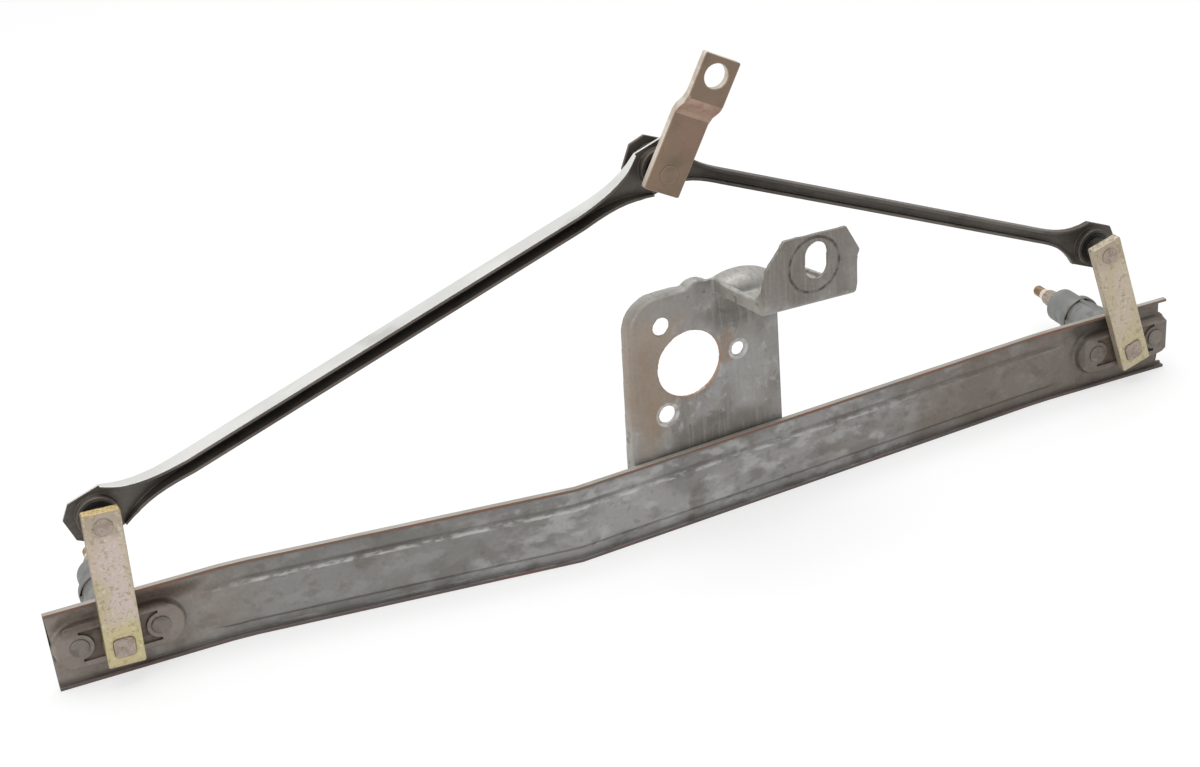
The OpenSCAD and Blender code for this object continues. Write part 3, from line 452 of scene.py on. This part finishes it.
# The upward face of the top lip is a lit copy of the steel: painted light, lighter where the top lamp
# falls on it.
lit_lip_finish = Finish("lit_lip_outside", "a39d94", 0.5)
lit_lip_finish.clouds("b5b1a9", 0.03, 0.4, 0.6, 0.8, (3, 1, 1))
lit_lip_finish.clouds("857e75", 0.015, 0.52, 0.68, 0.7, (3, 1, 1))
lit_lip_outside = lit_lip_finish.grain(0.4, 0.6, 0.0001, 0.0015)

# The bead and the fronts of the bosses and the web lie at these places on the pressed
# channel, and a hair is how near counts as on them.
bead_low_z, bead_high_z, bead_front_share = -0.0787, -0.0542, 0.86
boss_face_y, web_front_y = 0.01007, 0.01397
hair = 0.00005
rail = welded_copy("frame_rail", "rail")


def on_bead_front(face):
    """The long flat front of the bead, which is narrowed to give it sloping sides."""
    heights = [v.co.z for v in face.verts]
    return (face.normal.y < -0.9 and abs(min(heights) - bead_low_z) < hair
            and abs(max(heights) - bead_high_z) < hair
            and face.calc_center_median().y < web_front_y - hair)


choose(rail, faces=on_bead_front)
bpy.ops.transform.resize(value=(1, 1, bead_front_share),
                         center_override=(0, 0, (bead_low_z + bead_high_z) / 2))
bpy.ops.object.mode_set(mode="OBJECT")


def is_back_corner(edge):
    """The outer edge where a lip turns forward from the back of the web."""
    ends = [v.co for v in edge.verts]
    flat = all(abs(p.z - rail_high.z) < hair or abs(p.z - rail_low.z) < hair for p in ends)
    facing = sorted(abs(f.normal.z) for f in edge.link_faces)
    return (flat and len(facing) == 2 and facing[0] < 0.1 and facing[1] > 0.9
            and max(f.normal.y for f in edge.link_faces) > 0.9)


roll_edges(rail, is_back_corner, 0.0022)

# Each boss is centred on its spindle and has a rivet on either side of it. Its rim lies
# outside the inner radius round the line of the rivets, and its foot inside the reach.
seat_x = [sum(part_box(side + "_wiper_shaft")[k].x for k in (0, 1)) / 2 for side in ("left", "right")]
seat_z = -0.0647
rivet_from_axis = 0.0185
inner_radius, reach = 0.0102, 0.0315
recess_radius, recess_depth = 0.0085, 0.0013


def from_seat(x):
    """How far along the rail a place is from the nearer spindle."""
    return min(abs(x - at) for at in seat_x)


def is_boss_rim(edge):
    """The outer rim of a boss's face or its foot on the web, short of the rail's ends."""
    ways = sorted(f.normal.y for f in edge.link_faces)
    at_face = all(abs(v.co.y - boss_face_y) < hair for v in edge.verts)
    at_foot = all(abs(v.co.y - web_front_y) < hair for v in edge.verts)
    outside = all(max(abs(v.co.z - seat_z), from_seat(v.co.x) - rivet_from_axis) > inner_radius
                  for v in edge.verts)
    near = all(from_seat(v.co.x) < reach
               and rail_low.x + 0.001 < v.co.x < rail_high.x - 0.001 for v in edge.verts)
    return len(ways) == 2 and ways[0] < -0.99 and -0.9 < ways[1] < -0.1 and near and (
        at_face and outside or at_foot)


roll_edges(rail, is_boss_rim, 0.0011, 3)
finish_edges(rail, 0.0003)
dress(rail, "frame_rail", "galvanised_steel", galvanised_rail, sheared_edge, grime_and_shade_recess,
      lit_lip_outside, shaded_lower_sheared_edge)
lip_wall = 0.0017
# The upward faces of the top lip take the painted light.
second_coat(rail, lit_lip_outside, lambda way, mid: way.z > 0.6 and mid.z > rail_high.z - 0.003)
second_coat(rail, sheared_edge, lambda way, mid: way.y < -0.8 and rail_high.z - mid.z < lip_wall)
second_coat(rail, shaded_lower_sheared_edge, lambda way, mid: way.y < -0.8 and mid.z - rail_low.z < lip_wall)
second_coat(rail, grime_and_shade_recess, lambda way, mid: 0.0002 < mid.y - boss_face_y < recess_depth
            and from_seat(mid.x) < rivet_from_axis and abs(mid.z - seat_z) < recess_radius)

# ---- Motor bracket ----
# A plate of the same galvanised steel, with a flanged edge, a pressed shelf with a swell
# in its rear bend, and an ear with a slot. It is spot-welded to the back of the rail.
rail_bend = math.radians(4.315)
along = Vector((math.cos(rail_bend), math.sin(rail_bend), 0))
behind = Vector((-along.y, along.x, 0))


def on_plate(sideways, up, back=0.0):
    """A place on the bracket, from the middle of the motor's pilot hole."""
    return along * sideways + behind * back + Vector((0, 0, up))


plate_finish = Finish("galvanised_bracket", "8b8986", 0.5)
plate_finish.clouds("9a9997", 0.02, 0.42, 0.6, 0.8)
plate_finish.clouds("75716c", 0.022, 0.48, 0.62, 0.75, (1, 1, 1.6))
plate_finish.clouds("b0b0af", 0.005, 0.55, 0.67, 0.5)
# Painted light: the flange's side walls, turned away from the front, are lighter.
plate_finish.painted_light_by_facing("a9a59c", behind, 0.1, 0.9, 0.65)
plate_finish.clouds("8f8b85", 0.007, 0.5, 0.64, 0.4)
# Painted highlight: flat-lying faces, such as the top of the shelf and the swell, are lighter.
plate_finish.painted_light_by_facing("bdbcb8", (0, 0, 1), 0.95, 0.3, 0.6)
plate_finish.clouds("655f59", 0.004, 0.62, 0.7, 0.6)
plate_finish.spot("98897a", on_plate(-0.024, 0.005), (0.031, 0.01, 0.055), 0.8, 0.02)
plate_finish.spot("86735f", on_plate(-0.022, -0.008), (0.014, 0.01, 0.034), 0.45, 0.008)
plate_finish.spot("8c8a86", on_plate(-0.012, 0.033), (0.026, 0.01, 0.010), 0.6, 0.010)
plate_finish.spot("9b9a97", on_plate(0.032, -0.012), (0.016, 0.02, 0.03), 0.7)
# Painted shade darkens the plate low in the middle.
plate_finish.spot("66615b", on_plate(0.012, -0.041), (0.035, 0.02, 0.014), 0.8)
plate_finish.spot("756d66", on_plate(0.042, 0.055, -0.042), (0.04, 0.012, 0.03), 0.75)
plate_finish.spot("8d7a69", on_plate(0.021, 0.003), (0.008, 0.02, 0.012), 0.7, 0.008)
# Painted shade darkens the plate under the shelf.
plate_finish.spot("645e57", on_plate(0.026, 0.022), (0.022, 0.004, 0.012), 0.7, 0.012)
plate_finish.clouds("8d8883", 0.004, 0.5, 0.64, 0.45, (0.4, 1, 6))
# Painted shade darkens the plate in its hollows and under the shelf.
plate_finish.shade_and_grime_hollows("57524d", 0.009, 0.45)
# Bolt heads have rubbed bright rings round two of the bolt holes.
bolt_circle = 0.027
for turned, rub in ((0, 0.0045), (240, 0.0054)):
    bolt = on_plate(bolt_circle * math.cos(math.radians(turned)),
                    bolt_circle * math.sin(math.radians(turned)))
    plate_finish.ring("c6c5c3", bolt, rub, 0.0013, 0.8, rail_bend)
# Rust rims the pilot hole, and a washer has marked the ear round its slot.
plate_finish.ring("a5754f", on_plate(0, 0), 0.0171, 0.0007, 0.75, rail_bend)
plate_finish.ring("4a433d", on_plate(0.0453, 0.0544, -0.042), 0.0134, 0.0010, 0.9, rail_bend)
plate_finish.edges("b3a299", 0.0010, 0.7)
galvanised_bracket = plate_finish.grain(0.42, 0.62, 0.0001, 0.0014)

bracket = welded_copy("motor_bracket", "bracket")


def on_flange_bend(edge):
    """The front outline of the plate where a deep flange wall turns back from it."""
    if len(edge.link_faces) != 2:
        return False
    front, wall = sorted(edge.link_faces, key=lambda f: f.normal.dot(behind))
    depths = [v.co.dot(behind) for v in wall.verts]
    return (front.normal.dot(behind) < -0.99 and abs(wall.normal.dot(behind)) < 0.1
            and all(abs(v.co.dot(behind)) < hair for v in edge.verts)
            and max(depths) - min(depths) > 0.004)


roll_edges(bracket, on_flange_bend, 0.0022)


def fuse(main, *others):
    """Makes pieces one mesh with the main one, which keeps its name."""
    bpy.ops.object.select_all(action="DESELECT")
    for other in others:
        other.select_set(True)
    main.select_set(True)
    bpy.context.view_layer.objects.active = main
    bpy.ops.object.join()


# The swell is the top of an egg shape, cut off at the flange.
swell_at = on_plate(0.0274, 0.0308, -0.003)
bpy.ops.object.select_all(action="DESELECT")
bpy.ops.mesh.primitive_uv_sphere_add(segments=64, ring_count=32, radius=1.0)
dome = bpy.context.object
bpy.ops.object.mode_set(mode="EDIT")
bpy.ops.transform.resize(value=(0.021, 0.0124, 0.0122))
bpy.ops.mesh.bisect(plane_co=(0, 0, 0.0035), plane_no=(0, 0, 1), use_fill=True, clear_inner=True)
bpy.ops.mesh.select_all(action="SELECT")
bpy.ops.mesh.bisect(plane_co=(-0.0115, 0, 0), plane_no=(1, 0, 0), use_fill=True, clear_inner=True)
bpy.ops.object.mode_set(mode="OBJECT")
dome.data.transform(Matrix.Translation(swell_at) @ Matrix.Rotation(rail_bend, 4, "Z"))

# A cheek carries the flange's left face in one line from the hump out to the ear.
cheek_foot, cheek_height = 0.0345, 0.0059
cheek_outline = ((0.0120, 0.0019), (0.0120, 0.0001), (0.0154, 0.0001), (0.0154, -0.0130),
                 (0.0184, -0.0380), (0.0192, -0.0380), (0.0174, 0.0019))
bpy.ops.object.select_all(action="DESELECT")
bpy.ops.mesh.primitive_circle_add(vertices=7, radius=0.01, fill_type="NGON")
cheek = bpy.context.object
for corner, (sideways, back) in zip(cheek.data.vertices, cheek_outline):
    corner.co = on_plate(sideways, cheek_foot, back)
bpy.ops.object.mode_set(mode="EDIT")
bpy.ops.mesh.select_all(action="SELECT")
bpy.ops.mesh.extrude_region_move(TRANSFORM_OT_translate={"value": (0, 0, cheek_height)})
bpy.ops.mesh.select_all(action="SELECT")
bpy.ops.mesh.normals_make_consistent(inside=False)
bpy.ops.object.mode_set(mode="OBJECT")

# A thin web closes the swell's hollow, and leaves a shallow dent in the plate below it.
bpy.ops.object.select_all(action="DESELECT")
bpy.ops.mesh.primitive_cube_add(size=1.0)
dent = bpy.context.object
dent_at, dent_size = on_plate(0.032, 0.0262, 0.0014), Vector((0.031, 0.0014, 0.0156, 1))
dent.data.transform(Matrix.Translation(dent_at) @ Matrix.Rotation(rail_bend, 4, "Z")
                    @ Matrix.Diagonal(dent_size))

# All four become one skin. It is smoothed a little everywhere and much more round the
# swell, which fades out towards the ear and the flange.
fuse(bracket, dome, cheek, dent)
pressed = bracket.modifiers.new("pressed", "REMESH")
pressed.mode = "VOXEL"
pressed.voxel_size = 0.0006
bpy.ops.object.modifier_apply(modifier=pressed.name)
swell_zone = bracket.vertex_groups.new(name="swell_zone")
swell_middle = on_plate(0.028, 0.036, -0.003)
for corner in bracket.data.vertices:
    gap = (corner.co - swell_middle).length
    flow = min((0.030 - gap) / 0.010, (corner.co.dot(behind) + 0.033) / 0.006,
               (corner.co.dot(along) - 0.0185) / 0.004)
    swell_zone.add([corner.index], max(0.0, min(1.0, flow)), "REPLACE")
rounding = bracket.modifiers.new("rounding", "SMOOTH")
rounding.factor = 0.5
rounding.iterations = 3
bpy.ops.object.modifier_apply(modifier=rounding.name)
flowing = bracket.modifiers.new("flowing", "SMOOTH")
flowing.factor = 0.5
flowing.iterations = 28
flowing.vertex_group = swell_zone.name
bpy.ops.object.modifier_apply(modifier=flowing.name)
bpy.ops.object.shade_smooth()
dress(bracket, "motor_bracket", "galvanised_steel", galvanised_bracket)

# ---- Bearing housings ----
# Two die-cast zinc sleeves on rhombic flanges, each held to the back of its seat by two
# steel rivets, with a sintered bronze bush pressed in at each end.
cast_finish = Finish("cast_zinc", "7b7c79", 0.35)
cast_finish.clouds("8a8b88", 0.012, 0.42, 0.62, 0.8).clouds("696965", 0.008, 0.5, 0.66, 0.7)
# Painted shade darkens the housings' hollows and gaps in brown.
cast_finish.shade_and_grime_hollows("5f5045", 0.006, 0.85)
cast_finish.edges("8f8275", 0.0011, 0.85)
cast_zinc = cast_finish.grain(0.5, 0.7, 0.00015, 0.0009)

bronze_finish = Finish("sintered_bronze", "8a6a45", 0.7)
bronze_finish.clouds("6a5138", 0.003, 0.45, 0.6, 0.8)
sintered_bronze = bronze_finish.grain(0.4, 0.6, 0.0001, 0.0005)

rivet_finish = Finish("rivet_heads", "7d766e", 0.5)
rivet_finish.clouds("6a625a", 0.006, 0.45, 0.62, 0.9).clouds("8d8780", 0.003, 0.55, 0.68, 0.6)
rivet_finish.edges("59514a", 0.0006, 0.6)
rivet_heads = rivet_finish.grain(0.45, 0.65, 0.00012, 0.001)

for side in ("left", "right"):
    housing = welded_copy(side + "_bearing_housing", side + "_housing")
    finish_edges(housing, 0.0006, segments=3)
    dress(housing, side + "_bearing_housing", "cast_zinc", cast_zinc)
    rivets = welded_copy(side + "_housing_rivets", side + "_rivets")
    finish_edges(rivets, 0.0004, segments=3)
    dress(rivets, side + "_housing_rivets", "rivet_steel", rivet_heads)
    for end in ("_front_bush", "_rear_bush"):
        nodes[side + end].material_slots[0].material = sintered_bronze

# ---- Wiper shafts ----
# Turned steel spindles. A squared head is riveted over in the lever, a clip and a washer
# hold the shaft in its bushes, and the tip has a splined cone and an M6 thread.
shaft_finish = Finish("turned_steel", "a59a8e", 0.75)
shaft_finish.clouds("b9b0a6", 0.006, 0.45, 0.62, 0.8).clouds("7f7368", 0.004, 0.55, 0.68, 0.8)
turned_steel = shaft_finish.grain(0.35, 0.55, 0.0001, 0.0008)

spline_finish = Finish("splined_cone", "b3a99b", 0.6)
spline_finish.clouds("8b7a69", 0.0015, 0.5, 0.62, 0.9)
# Painted shade darkens the roots of the splines.
spline_finish.shade_and_grime_hollows("5b4a3d", 0.0008, 0.7)
splined_cone = spline_finish.grain(0.4, 0.6, 0.0001, 0.0005)

copper_finish = Finish("coppered_thread", "a38a70", 0.5)
# Painted shade darkens the roots of the thread.
copper_finish.clouds("b79f85", 0.002, 0.45, 0.6, 0.8).shade_and_grime_hollows("6b5745", 0.0006, 0.5)
coppered_thread = copper_finish.grain(0.35, 0.55, 0.00008, 0.0005)

# The collar is painted near white, as a painted highlight.
highlight_collar_finish = Finish("highlight_collar", "dccfc2", 0.4)
highlight_collar = highlight_collar_finish.grain(0.3, 0.45, 0.00005, 0.0006)

head_finish = Finish("riveted_head", "a5978b", 0.45)
head_finish.clouds("918276", 0.004, 0.45, 0.62, 0.8)
head_finish.clouds("5e5048", 0.0009, 0.62, 0.68, 0.9).clouds("c0b3aa", 0.002, 0.6, 0.7, 0.6)
head_finish.edges("6b5744", 0.0006, 0.9)
riveted_head = head_finish.grain(0.45, 0.65, 0.0003, 0.0009)

cone_start, cone_end = 0.07357, 0.08247
cone_wide, cone_narrow = 0.0053, 0.0043
core_radius = 0.003
collar_radius, collar_length = 0.0032, 0.0038
thread_root, thread_crest, thread_pitch = 0.0024, 0.00298, 0.001
thread_turns, steps_a_turn = 6, 24
spline_teeth = 30

for side, centre_x in zip(("left", "right"), seat_x):
    axis = Vector((centre_x, 0, seat_z))
    shaft = welded_copy(side + "_wiper_shaft", side + "_shaft")

    def off_axis(place):
        """How far a place is from the shaft's axis."""
        return (Vector((place.x, 0, place.z)) - axis).length

    # The plain tip and cone shrink, to lie inside the thread and the splines.
    finish_edges(shaft, 0)
    for low_y, high_y, inner, outer, share in (
            (cone_end - hair, 1.0, 0, core_radius + 0.0001, thread_root / core_radius),
            (cone_start - 0.0001, cone_end + hair, 0.0036, 1.0, 0.9)):
        choose(shaft, faces=lambda face: all(
            low_y < v.co.y < high_y and inner < off_axis(v.co) < outer for v in face.verts))
        bpy.ops.transform.resize(value=(share, 1, share), center_override=axis)
        bpy.ops.object.mode_set(mode="OBJECT")

    # The splines are cut by drawing in every second edge of a cone.
    bpy.ops.object.select_all(action="DESELECT")
    bpy.ops.mesh.primitive_cone_add(vertices=2 * spline_teeth, radius1=cone_wide, radius2=cone_narrow,
                                    depth=cone_end - cone_start)
    splines = bpy.context.object
    splines.data.transform(Matrix.Translation(axis + Vector((0, (cone_start + cone_end) / 2, 0)))
                           @ Matrix.Rotation(math.radians(-90), 4, "X"))

    def is_between_teeth(edge):
        """Every second one of the edges that run down the cone."""
        start, end = (v.co for v in edge.verts)
        place = math.atan2(start.z - axis.z, start.x - axis.x) * spline_teeth / math.pi
        return abs(start.y - end.y) > 0.001 and round(place) % 2

    choose(splines, edges=is_between_teeth)
    bpy.ops.transform.resize(value=(0.93, 1, 0.93), center_override=axis)
    bpy.ops.object.mode_set(mode="OBJECT")

    # The thread is one tooth, wound up the axis and closed at both ends.
    bpy.ops.object.select_all(action="DESELECT")
    bpy.ops.mesh.primitive_circle_add(vertices=3, radius=0.001, fill_type="NOTHING")
    thread = bpy.context.object
    profile = ((thread_root, 0.03), (thread_crest, 0.5), (thread_root, 0.97))
    for corner, (radius, rise) in zip(thread.data.vertices, profile):
        corner.co = (radius, rise * thread_pitch, 0)
    winding = thread.modifiers.new("winding", "SCREW")
    winding.axis = "Y"
    winding.angle = math.radians(360 * thread_turns)
    winding.screw_offset = thread_turns * thread_pitch
    winding.steps = thread_turns * steps_a_turn
    winding.render_steps = thread_turns * steps_a_turn
    bpy.ops.object.modifier_apply(modifier=winding.name)
    bpy.ops.object.mode_set(mode="EDIT")
    bpy.ops.mesh.select_all(action="SELECT")
    bpy.ops.mesh.remove_doubles(threshold=0.000001)
    bpy.ops.mesh.fill_holes(sides=3)
    bpy.ops.mesh.normals_make_consistent(inside=False)
    bpy.ops.object.mode_set(mode="OBJECT")
    thread.data.transform(Matrix.Translation(axis + Vector((0, cone_end + collar_length, 0))))

    # A plain collar stands between the splines and the thread. Its near-white colour is a painted
    # highlight.
    bpy.ops.object.select_all(action="DESELECT")
    bpy.ops.mesh.primitive_cylinder_add(vertices=48, radius=collar_radius, depth=collar_length)
    collar = bpy.context.object
    collar.data.transform(Matrix.Translation(axis + Vector((0, cone_end + collar_length / 2, 0)))
                          @ Matrix.Rotation(math.radians(90), 4, "X"))
    bpy.ops.object.shade_smooth_by_angle(angle=math.radians(50))

    dress(shaft, side + "_wiper_shaft", "shaft_steel", turned_steel, riveted_head, splined_cone,
          coppered_thread, highlight_collar)
    head_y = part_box(side + "_lever")[1].y
    for extra, look in ((splines, splined_cone), (thread, coppered_thread), (collar, highlight_collar)):
        extra.data.materials.append(look)
    second_coat(shaft, riveted_head, lambda way, mid: mid.y < head_y)
    second_coat(shaft, coppered_thread, lambda way, mid: mid.y > cone_end + hair)
    fuse(shaft, splines, thread, collar)

steel_finish = Finish("spring_steel", "6f6a65", 0.7)
steel_finish.clouds("57524d", 0.004, 0.45, 0.62, 0.8)
spring_steel = steel_finish.grain(0.35, 0.55, 0.00008, 0.0008)
for side in ("left", "right"):
    for ring in ("_shaft_clip", "_thrust_washer"):
        nodes[side + ring].material_slots[0].material = spring_steel

# ---- Levers ----
# Two 5 mm steel arms, zinc plated and yellow passivated. The plating is pinkish where it
# is worn and golden along the edges and round the shaft, with dark pits.


def zinc_plate(name, middle, gold, pink):
    """Zinc plate whose passivating has clouded to gold and pink."""
    finish = Finish(name, middle, 0.45)
    finish.clouds(gold, 0.012, 0.45, 0.62, 0.7).clouds(pink, 0.014, 0.5, 0.64, 0.7, (1, 1, 2))
    return finish


# Each lever's side walls and top end are painted as lit: the left lever's walls darker and the right's
# lighter, as painted shade and painted light, and both top ends lighter, as painted light.
for side, seat, pinkness, foot, wall, top in (
        ("left", seat_x[0], 0.9, "c0b581", "8d8170", "c7b07c"),
        ("right", seat_x[1], 0.45, "b9b08c", "b0a490", "b4ab9c")):
    lever = welded_copy(side + "_lever", side + "_arm")
    finish_edges(lever, 0.0004)
    front_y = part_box(side + "_lever")[0].y
    shaft_end = Vector((seat, front_y, seat_z))
    pin_low, pin_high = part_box(side + "_lever_pin")
    pin_end = Vector(((pin_low.x + pin_high.x) / 2, front_y, (pin_low.z + pin_high.z) / 2))
    half_way = (shaft_end + pin_end) / 2
    front = zinc_plate(side + "_yellow_zinc", "b8ac94", "b3a883", "c0aea4")
    front.spot("c4b4ad", half_way + Vector((0.002, 0, 0.006)), (0.0085, 0.02, 0.036), pinkness, 0.008)
    front.spot(foot, shaft_end, (0.016, 0.02, 0.018), 0.7, 0.006)
    front.spot("a69888", pin_end + Vector((0, 0, 0.006)), (0.02, 0.02, 0.016), 0.8, 0.006)
    front.clouds("6a5f45", 0.0009, 0.62, 0.69, 0.7).clouds("948a63", 0.0022, 0.55, 0.66, 0.55)
    front.clouds("cfc9b8", 0.0018, 0.58, 0.68, 0.6)
    front.edges("bda45c", 0.0012, 0.7)
    yellow_zinc = front.grain(0.42, 0.6, 0.0002, 0.0011)
    sides = zinc_plate(side + "_lit_lever_side", wall, "95865f", "9a8b80")
    sides.clouds("5f5645", 0.0015, 0.6, 0.68, 0.8)
    lit_lever_side = sides.grain(0.45, 0.65, 0.0002, 0.0011)
    ends = Finish(side + "_lit_lever_end", top, 0.4)
    ends.clouds("8c7348", 0.0012, 0.5, 0.6, 0.7).clouds("e3d9b8", 0.0010, 0.58, 0.66, 0.7)
    lit_lever_end = ends.grain(0.4, 0.6, 0.0003, 0.001)
    dress(lever, side + "_lever", "yellow_zinc", yellow_zinc, lit_lever_side, lit_lever_end)
    second_coat(lever, lit_lever_side, lambda way, mid: abs(way.y) < 0.4)
    second_coat(lever, lit_lever_end, lambda way, mid: abs(way.y) < 0.4 and way.z > 0.8)

# ---- Rods ----
# Two pressed channel links in dark phosphated steel. Their ends are dished, and each has
# a black plastic socket bush pressed into it, which turns on a pin.
rod_finish = Finish("phosphated_inside", "57524c", 0.5)
rod_finish.clouds("66605a", 0.03, 0.45, 0.62, 0.7, (2, 1, 1))
rod_finish.clouds("45413d", 0.012, 0.5, 0.66, 0.7, (2, 1, 1))
# Painted shade darkens the inside of the channel.
rod_finish.shade_and_grime_hollows("2c2a27", 0.004, 0.5)
rod_finish.edges("9c8478", 0.0009, 0.85)
phosphated_inside = rod_finish.grain(0.32, 0.5, 0.00006, 0.0012)

# The pale colour is a painted highlight on the upward outside of the flange.
lit_outside_finish = Finish("lit_phosphated_outside", "cdcdca", 0.4)
lit_outside_finish.clouds("dadad7", 0.03, 0.42, 0.6, 0.8, (2, 1, 1))
lit_outside_finish.clouds("aaa8a4", 0.02, 0.55, 0.7, 0.5, (2, 1, 1))
lit_outside_finish.edges("8d7468", 0.0006, 0.6)
lit_phosphated_outside = lit_outside_finish.grain(0.3, 0.45, 0.00006, 0.0012)

bush_finish = Finish("black_plastic", "1b1a19", 0.0)
bush_finish.clouds("282624", 0.003, 0.45, 0.6, 0.8)
black_plastic = bush_finish.grain(0.35, 0.5, 0.0001, 0.0008)

for side in ("left", "right"):
    rod = welded_copy(side + "_rod", side + "_link_rod")
    finish_edges(rod, 0.0003)
    dress(rod, side + "_rod", "phosphated_steel", phosphated_inside, lit_phosphated_outside)
    if side == "left":
        # The flange that faces up is painted pale on its outside, between the rod's two heads: a
        # painted highlight where it faces the lamps.
        lifted, head_radius = Vector((-0.34, 0, 0.94)), 0.0105
        pins = [sum(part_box(name), Vector()) / 2 for name in ("left_lever_pin", "crank_pin")]
        second_coat(rod, lit_phosphated_outside, lambda way, mid: way.dot(lifted) > 0.4 and way.y > -0.5
                    and (mid - pins[0]).dot(lifted) > 0
                    and min(math.hypot(mid.x - pin.x, mid.z - pin.z) for pin in pins) > head_radius)
    for end in ("_rod_crank_bush", "_rod_lever_bush"):
        nodes[side + end].material_slots[0].material = black_plastic

# ---- Crank ----
# A flat bar of satin steel, stepped by two bends, with a hub hole for the motor's shaft at
# one end and a pin for both rods at the other.
satin_finish = Finish("satin_steel", "7d6b5a", 0.5)
satin_finish.clouds("86705e", 0.02, 0.42, 0.62, 0.8).clouds("6c5f4e", 0.012, 0.5, 0.66, 0.6)
satin_finish.spot("8a6f61", (0.008, 0, 0.113), (0.009, 0.02, 0.02), 0.5, 0.01)
satin_finish.edges("b3a596", 0.0008, 0.7)
satin_steel = satin_finish.grain(0.38, 0.52, 0.00006, 0.0009)

bar_side_finish = Finish("bar_side", "d2c8bb", 0.4)
bar_side_finish.clouds("b8ab9b", 0.006, 0.45, 0.62, 0.8)
bar_side = bar_side_finish.grain(0.4, 0.55, 0.00008, 0.0009)

# The bends are painted lighter and pinker, as a painted highlight.
bend_highlight_finish = Finish("bend_highlight", "a88e7c", 0.5)
bend_highlight_finish.clouds("98796a", 0.006, 0.45, 0.62, 0.8)
bend_highlight = bend_highlight_finish.grain(0.38, 0.55, 0.00008, 0.0009)

# Only the flat faces and the sides are made whole, so that each bend keeps its own edges.
bend_radius = 0.0022
crank = welded_copy("crank_arm", "crank_bar", whole_faces=False)
choose(crank, faces=lambda face: not 0.35 < abs(face.normal.y) < 0.99999)
bpy.ops.mesh.dissolve_limited(angle_limit=math.radians(0.4))
bpy.ops.object.mode_set(mode="OBJECT")
roll_edges(crank, lambda edge: len(edge.link_faces) == 2 and min(
    abs(f.normal.y) for f in edge.link_faces) > 0.5
    and edge.calc_face_angle(0) > math.radians(15), bend_radius)
finish_edges(crank, 0.0003)
dress(crank, "crank_arm", "crank_steel", satin_steel, bar_side, bend_highlight)
second_coat(crank, bar_side, lambda way, mid: abs(way.y) < 0.35)
# The bends take the painted highlight.
second_coat(crank, bend_highlight, lambda way, mid: -0.97 < way.y < -0.5)

# ---- Pins ----
# Three steel pins carry the rods. They are riveted over in the two levers and flush in
# the crank, which leaves their heads bright, and a spring clip holds the rods on each.
# Behind its head each pin is painted near black, as painted shade between the levers, the crank and the
# rods.
shaded_pin_finish = Finish("shaded_pin", "33302d", 0.6)
shaded_pin_finish.clouds("474340", 0.003, 0.45, 0.6, 0.8)
shaded_pin = shaded_pin_finish.grain(0.35, 0.55, 0.00008, 0.0008)

head_length = 0.003
for name, clip, head in (("left_lever_pin", "left_pin_clip", riveted_head),
                         ("right_lever_pin", "right_pin_clip", riveted_head),
                         ("crank_pin", "crank_pin_clip", satin_steel)):
    pin = welded_copy(name, name.replace("_pin", "_stud"))
    finish_edges(pin, 0.0002)
    dress(pin, name, "pin_steel", head, shaded_pin)
    head_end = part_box(name)[0].y + head_length
    second_coat(pin, shaded_pin, lambda way, mid: mid.y > head_end)
    nodes[clip].material_slots[0].material = spring_steel

bpy.context.scene.view_settings.view_transform = "Standard"
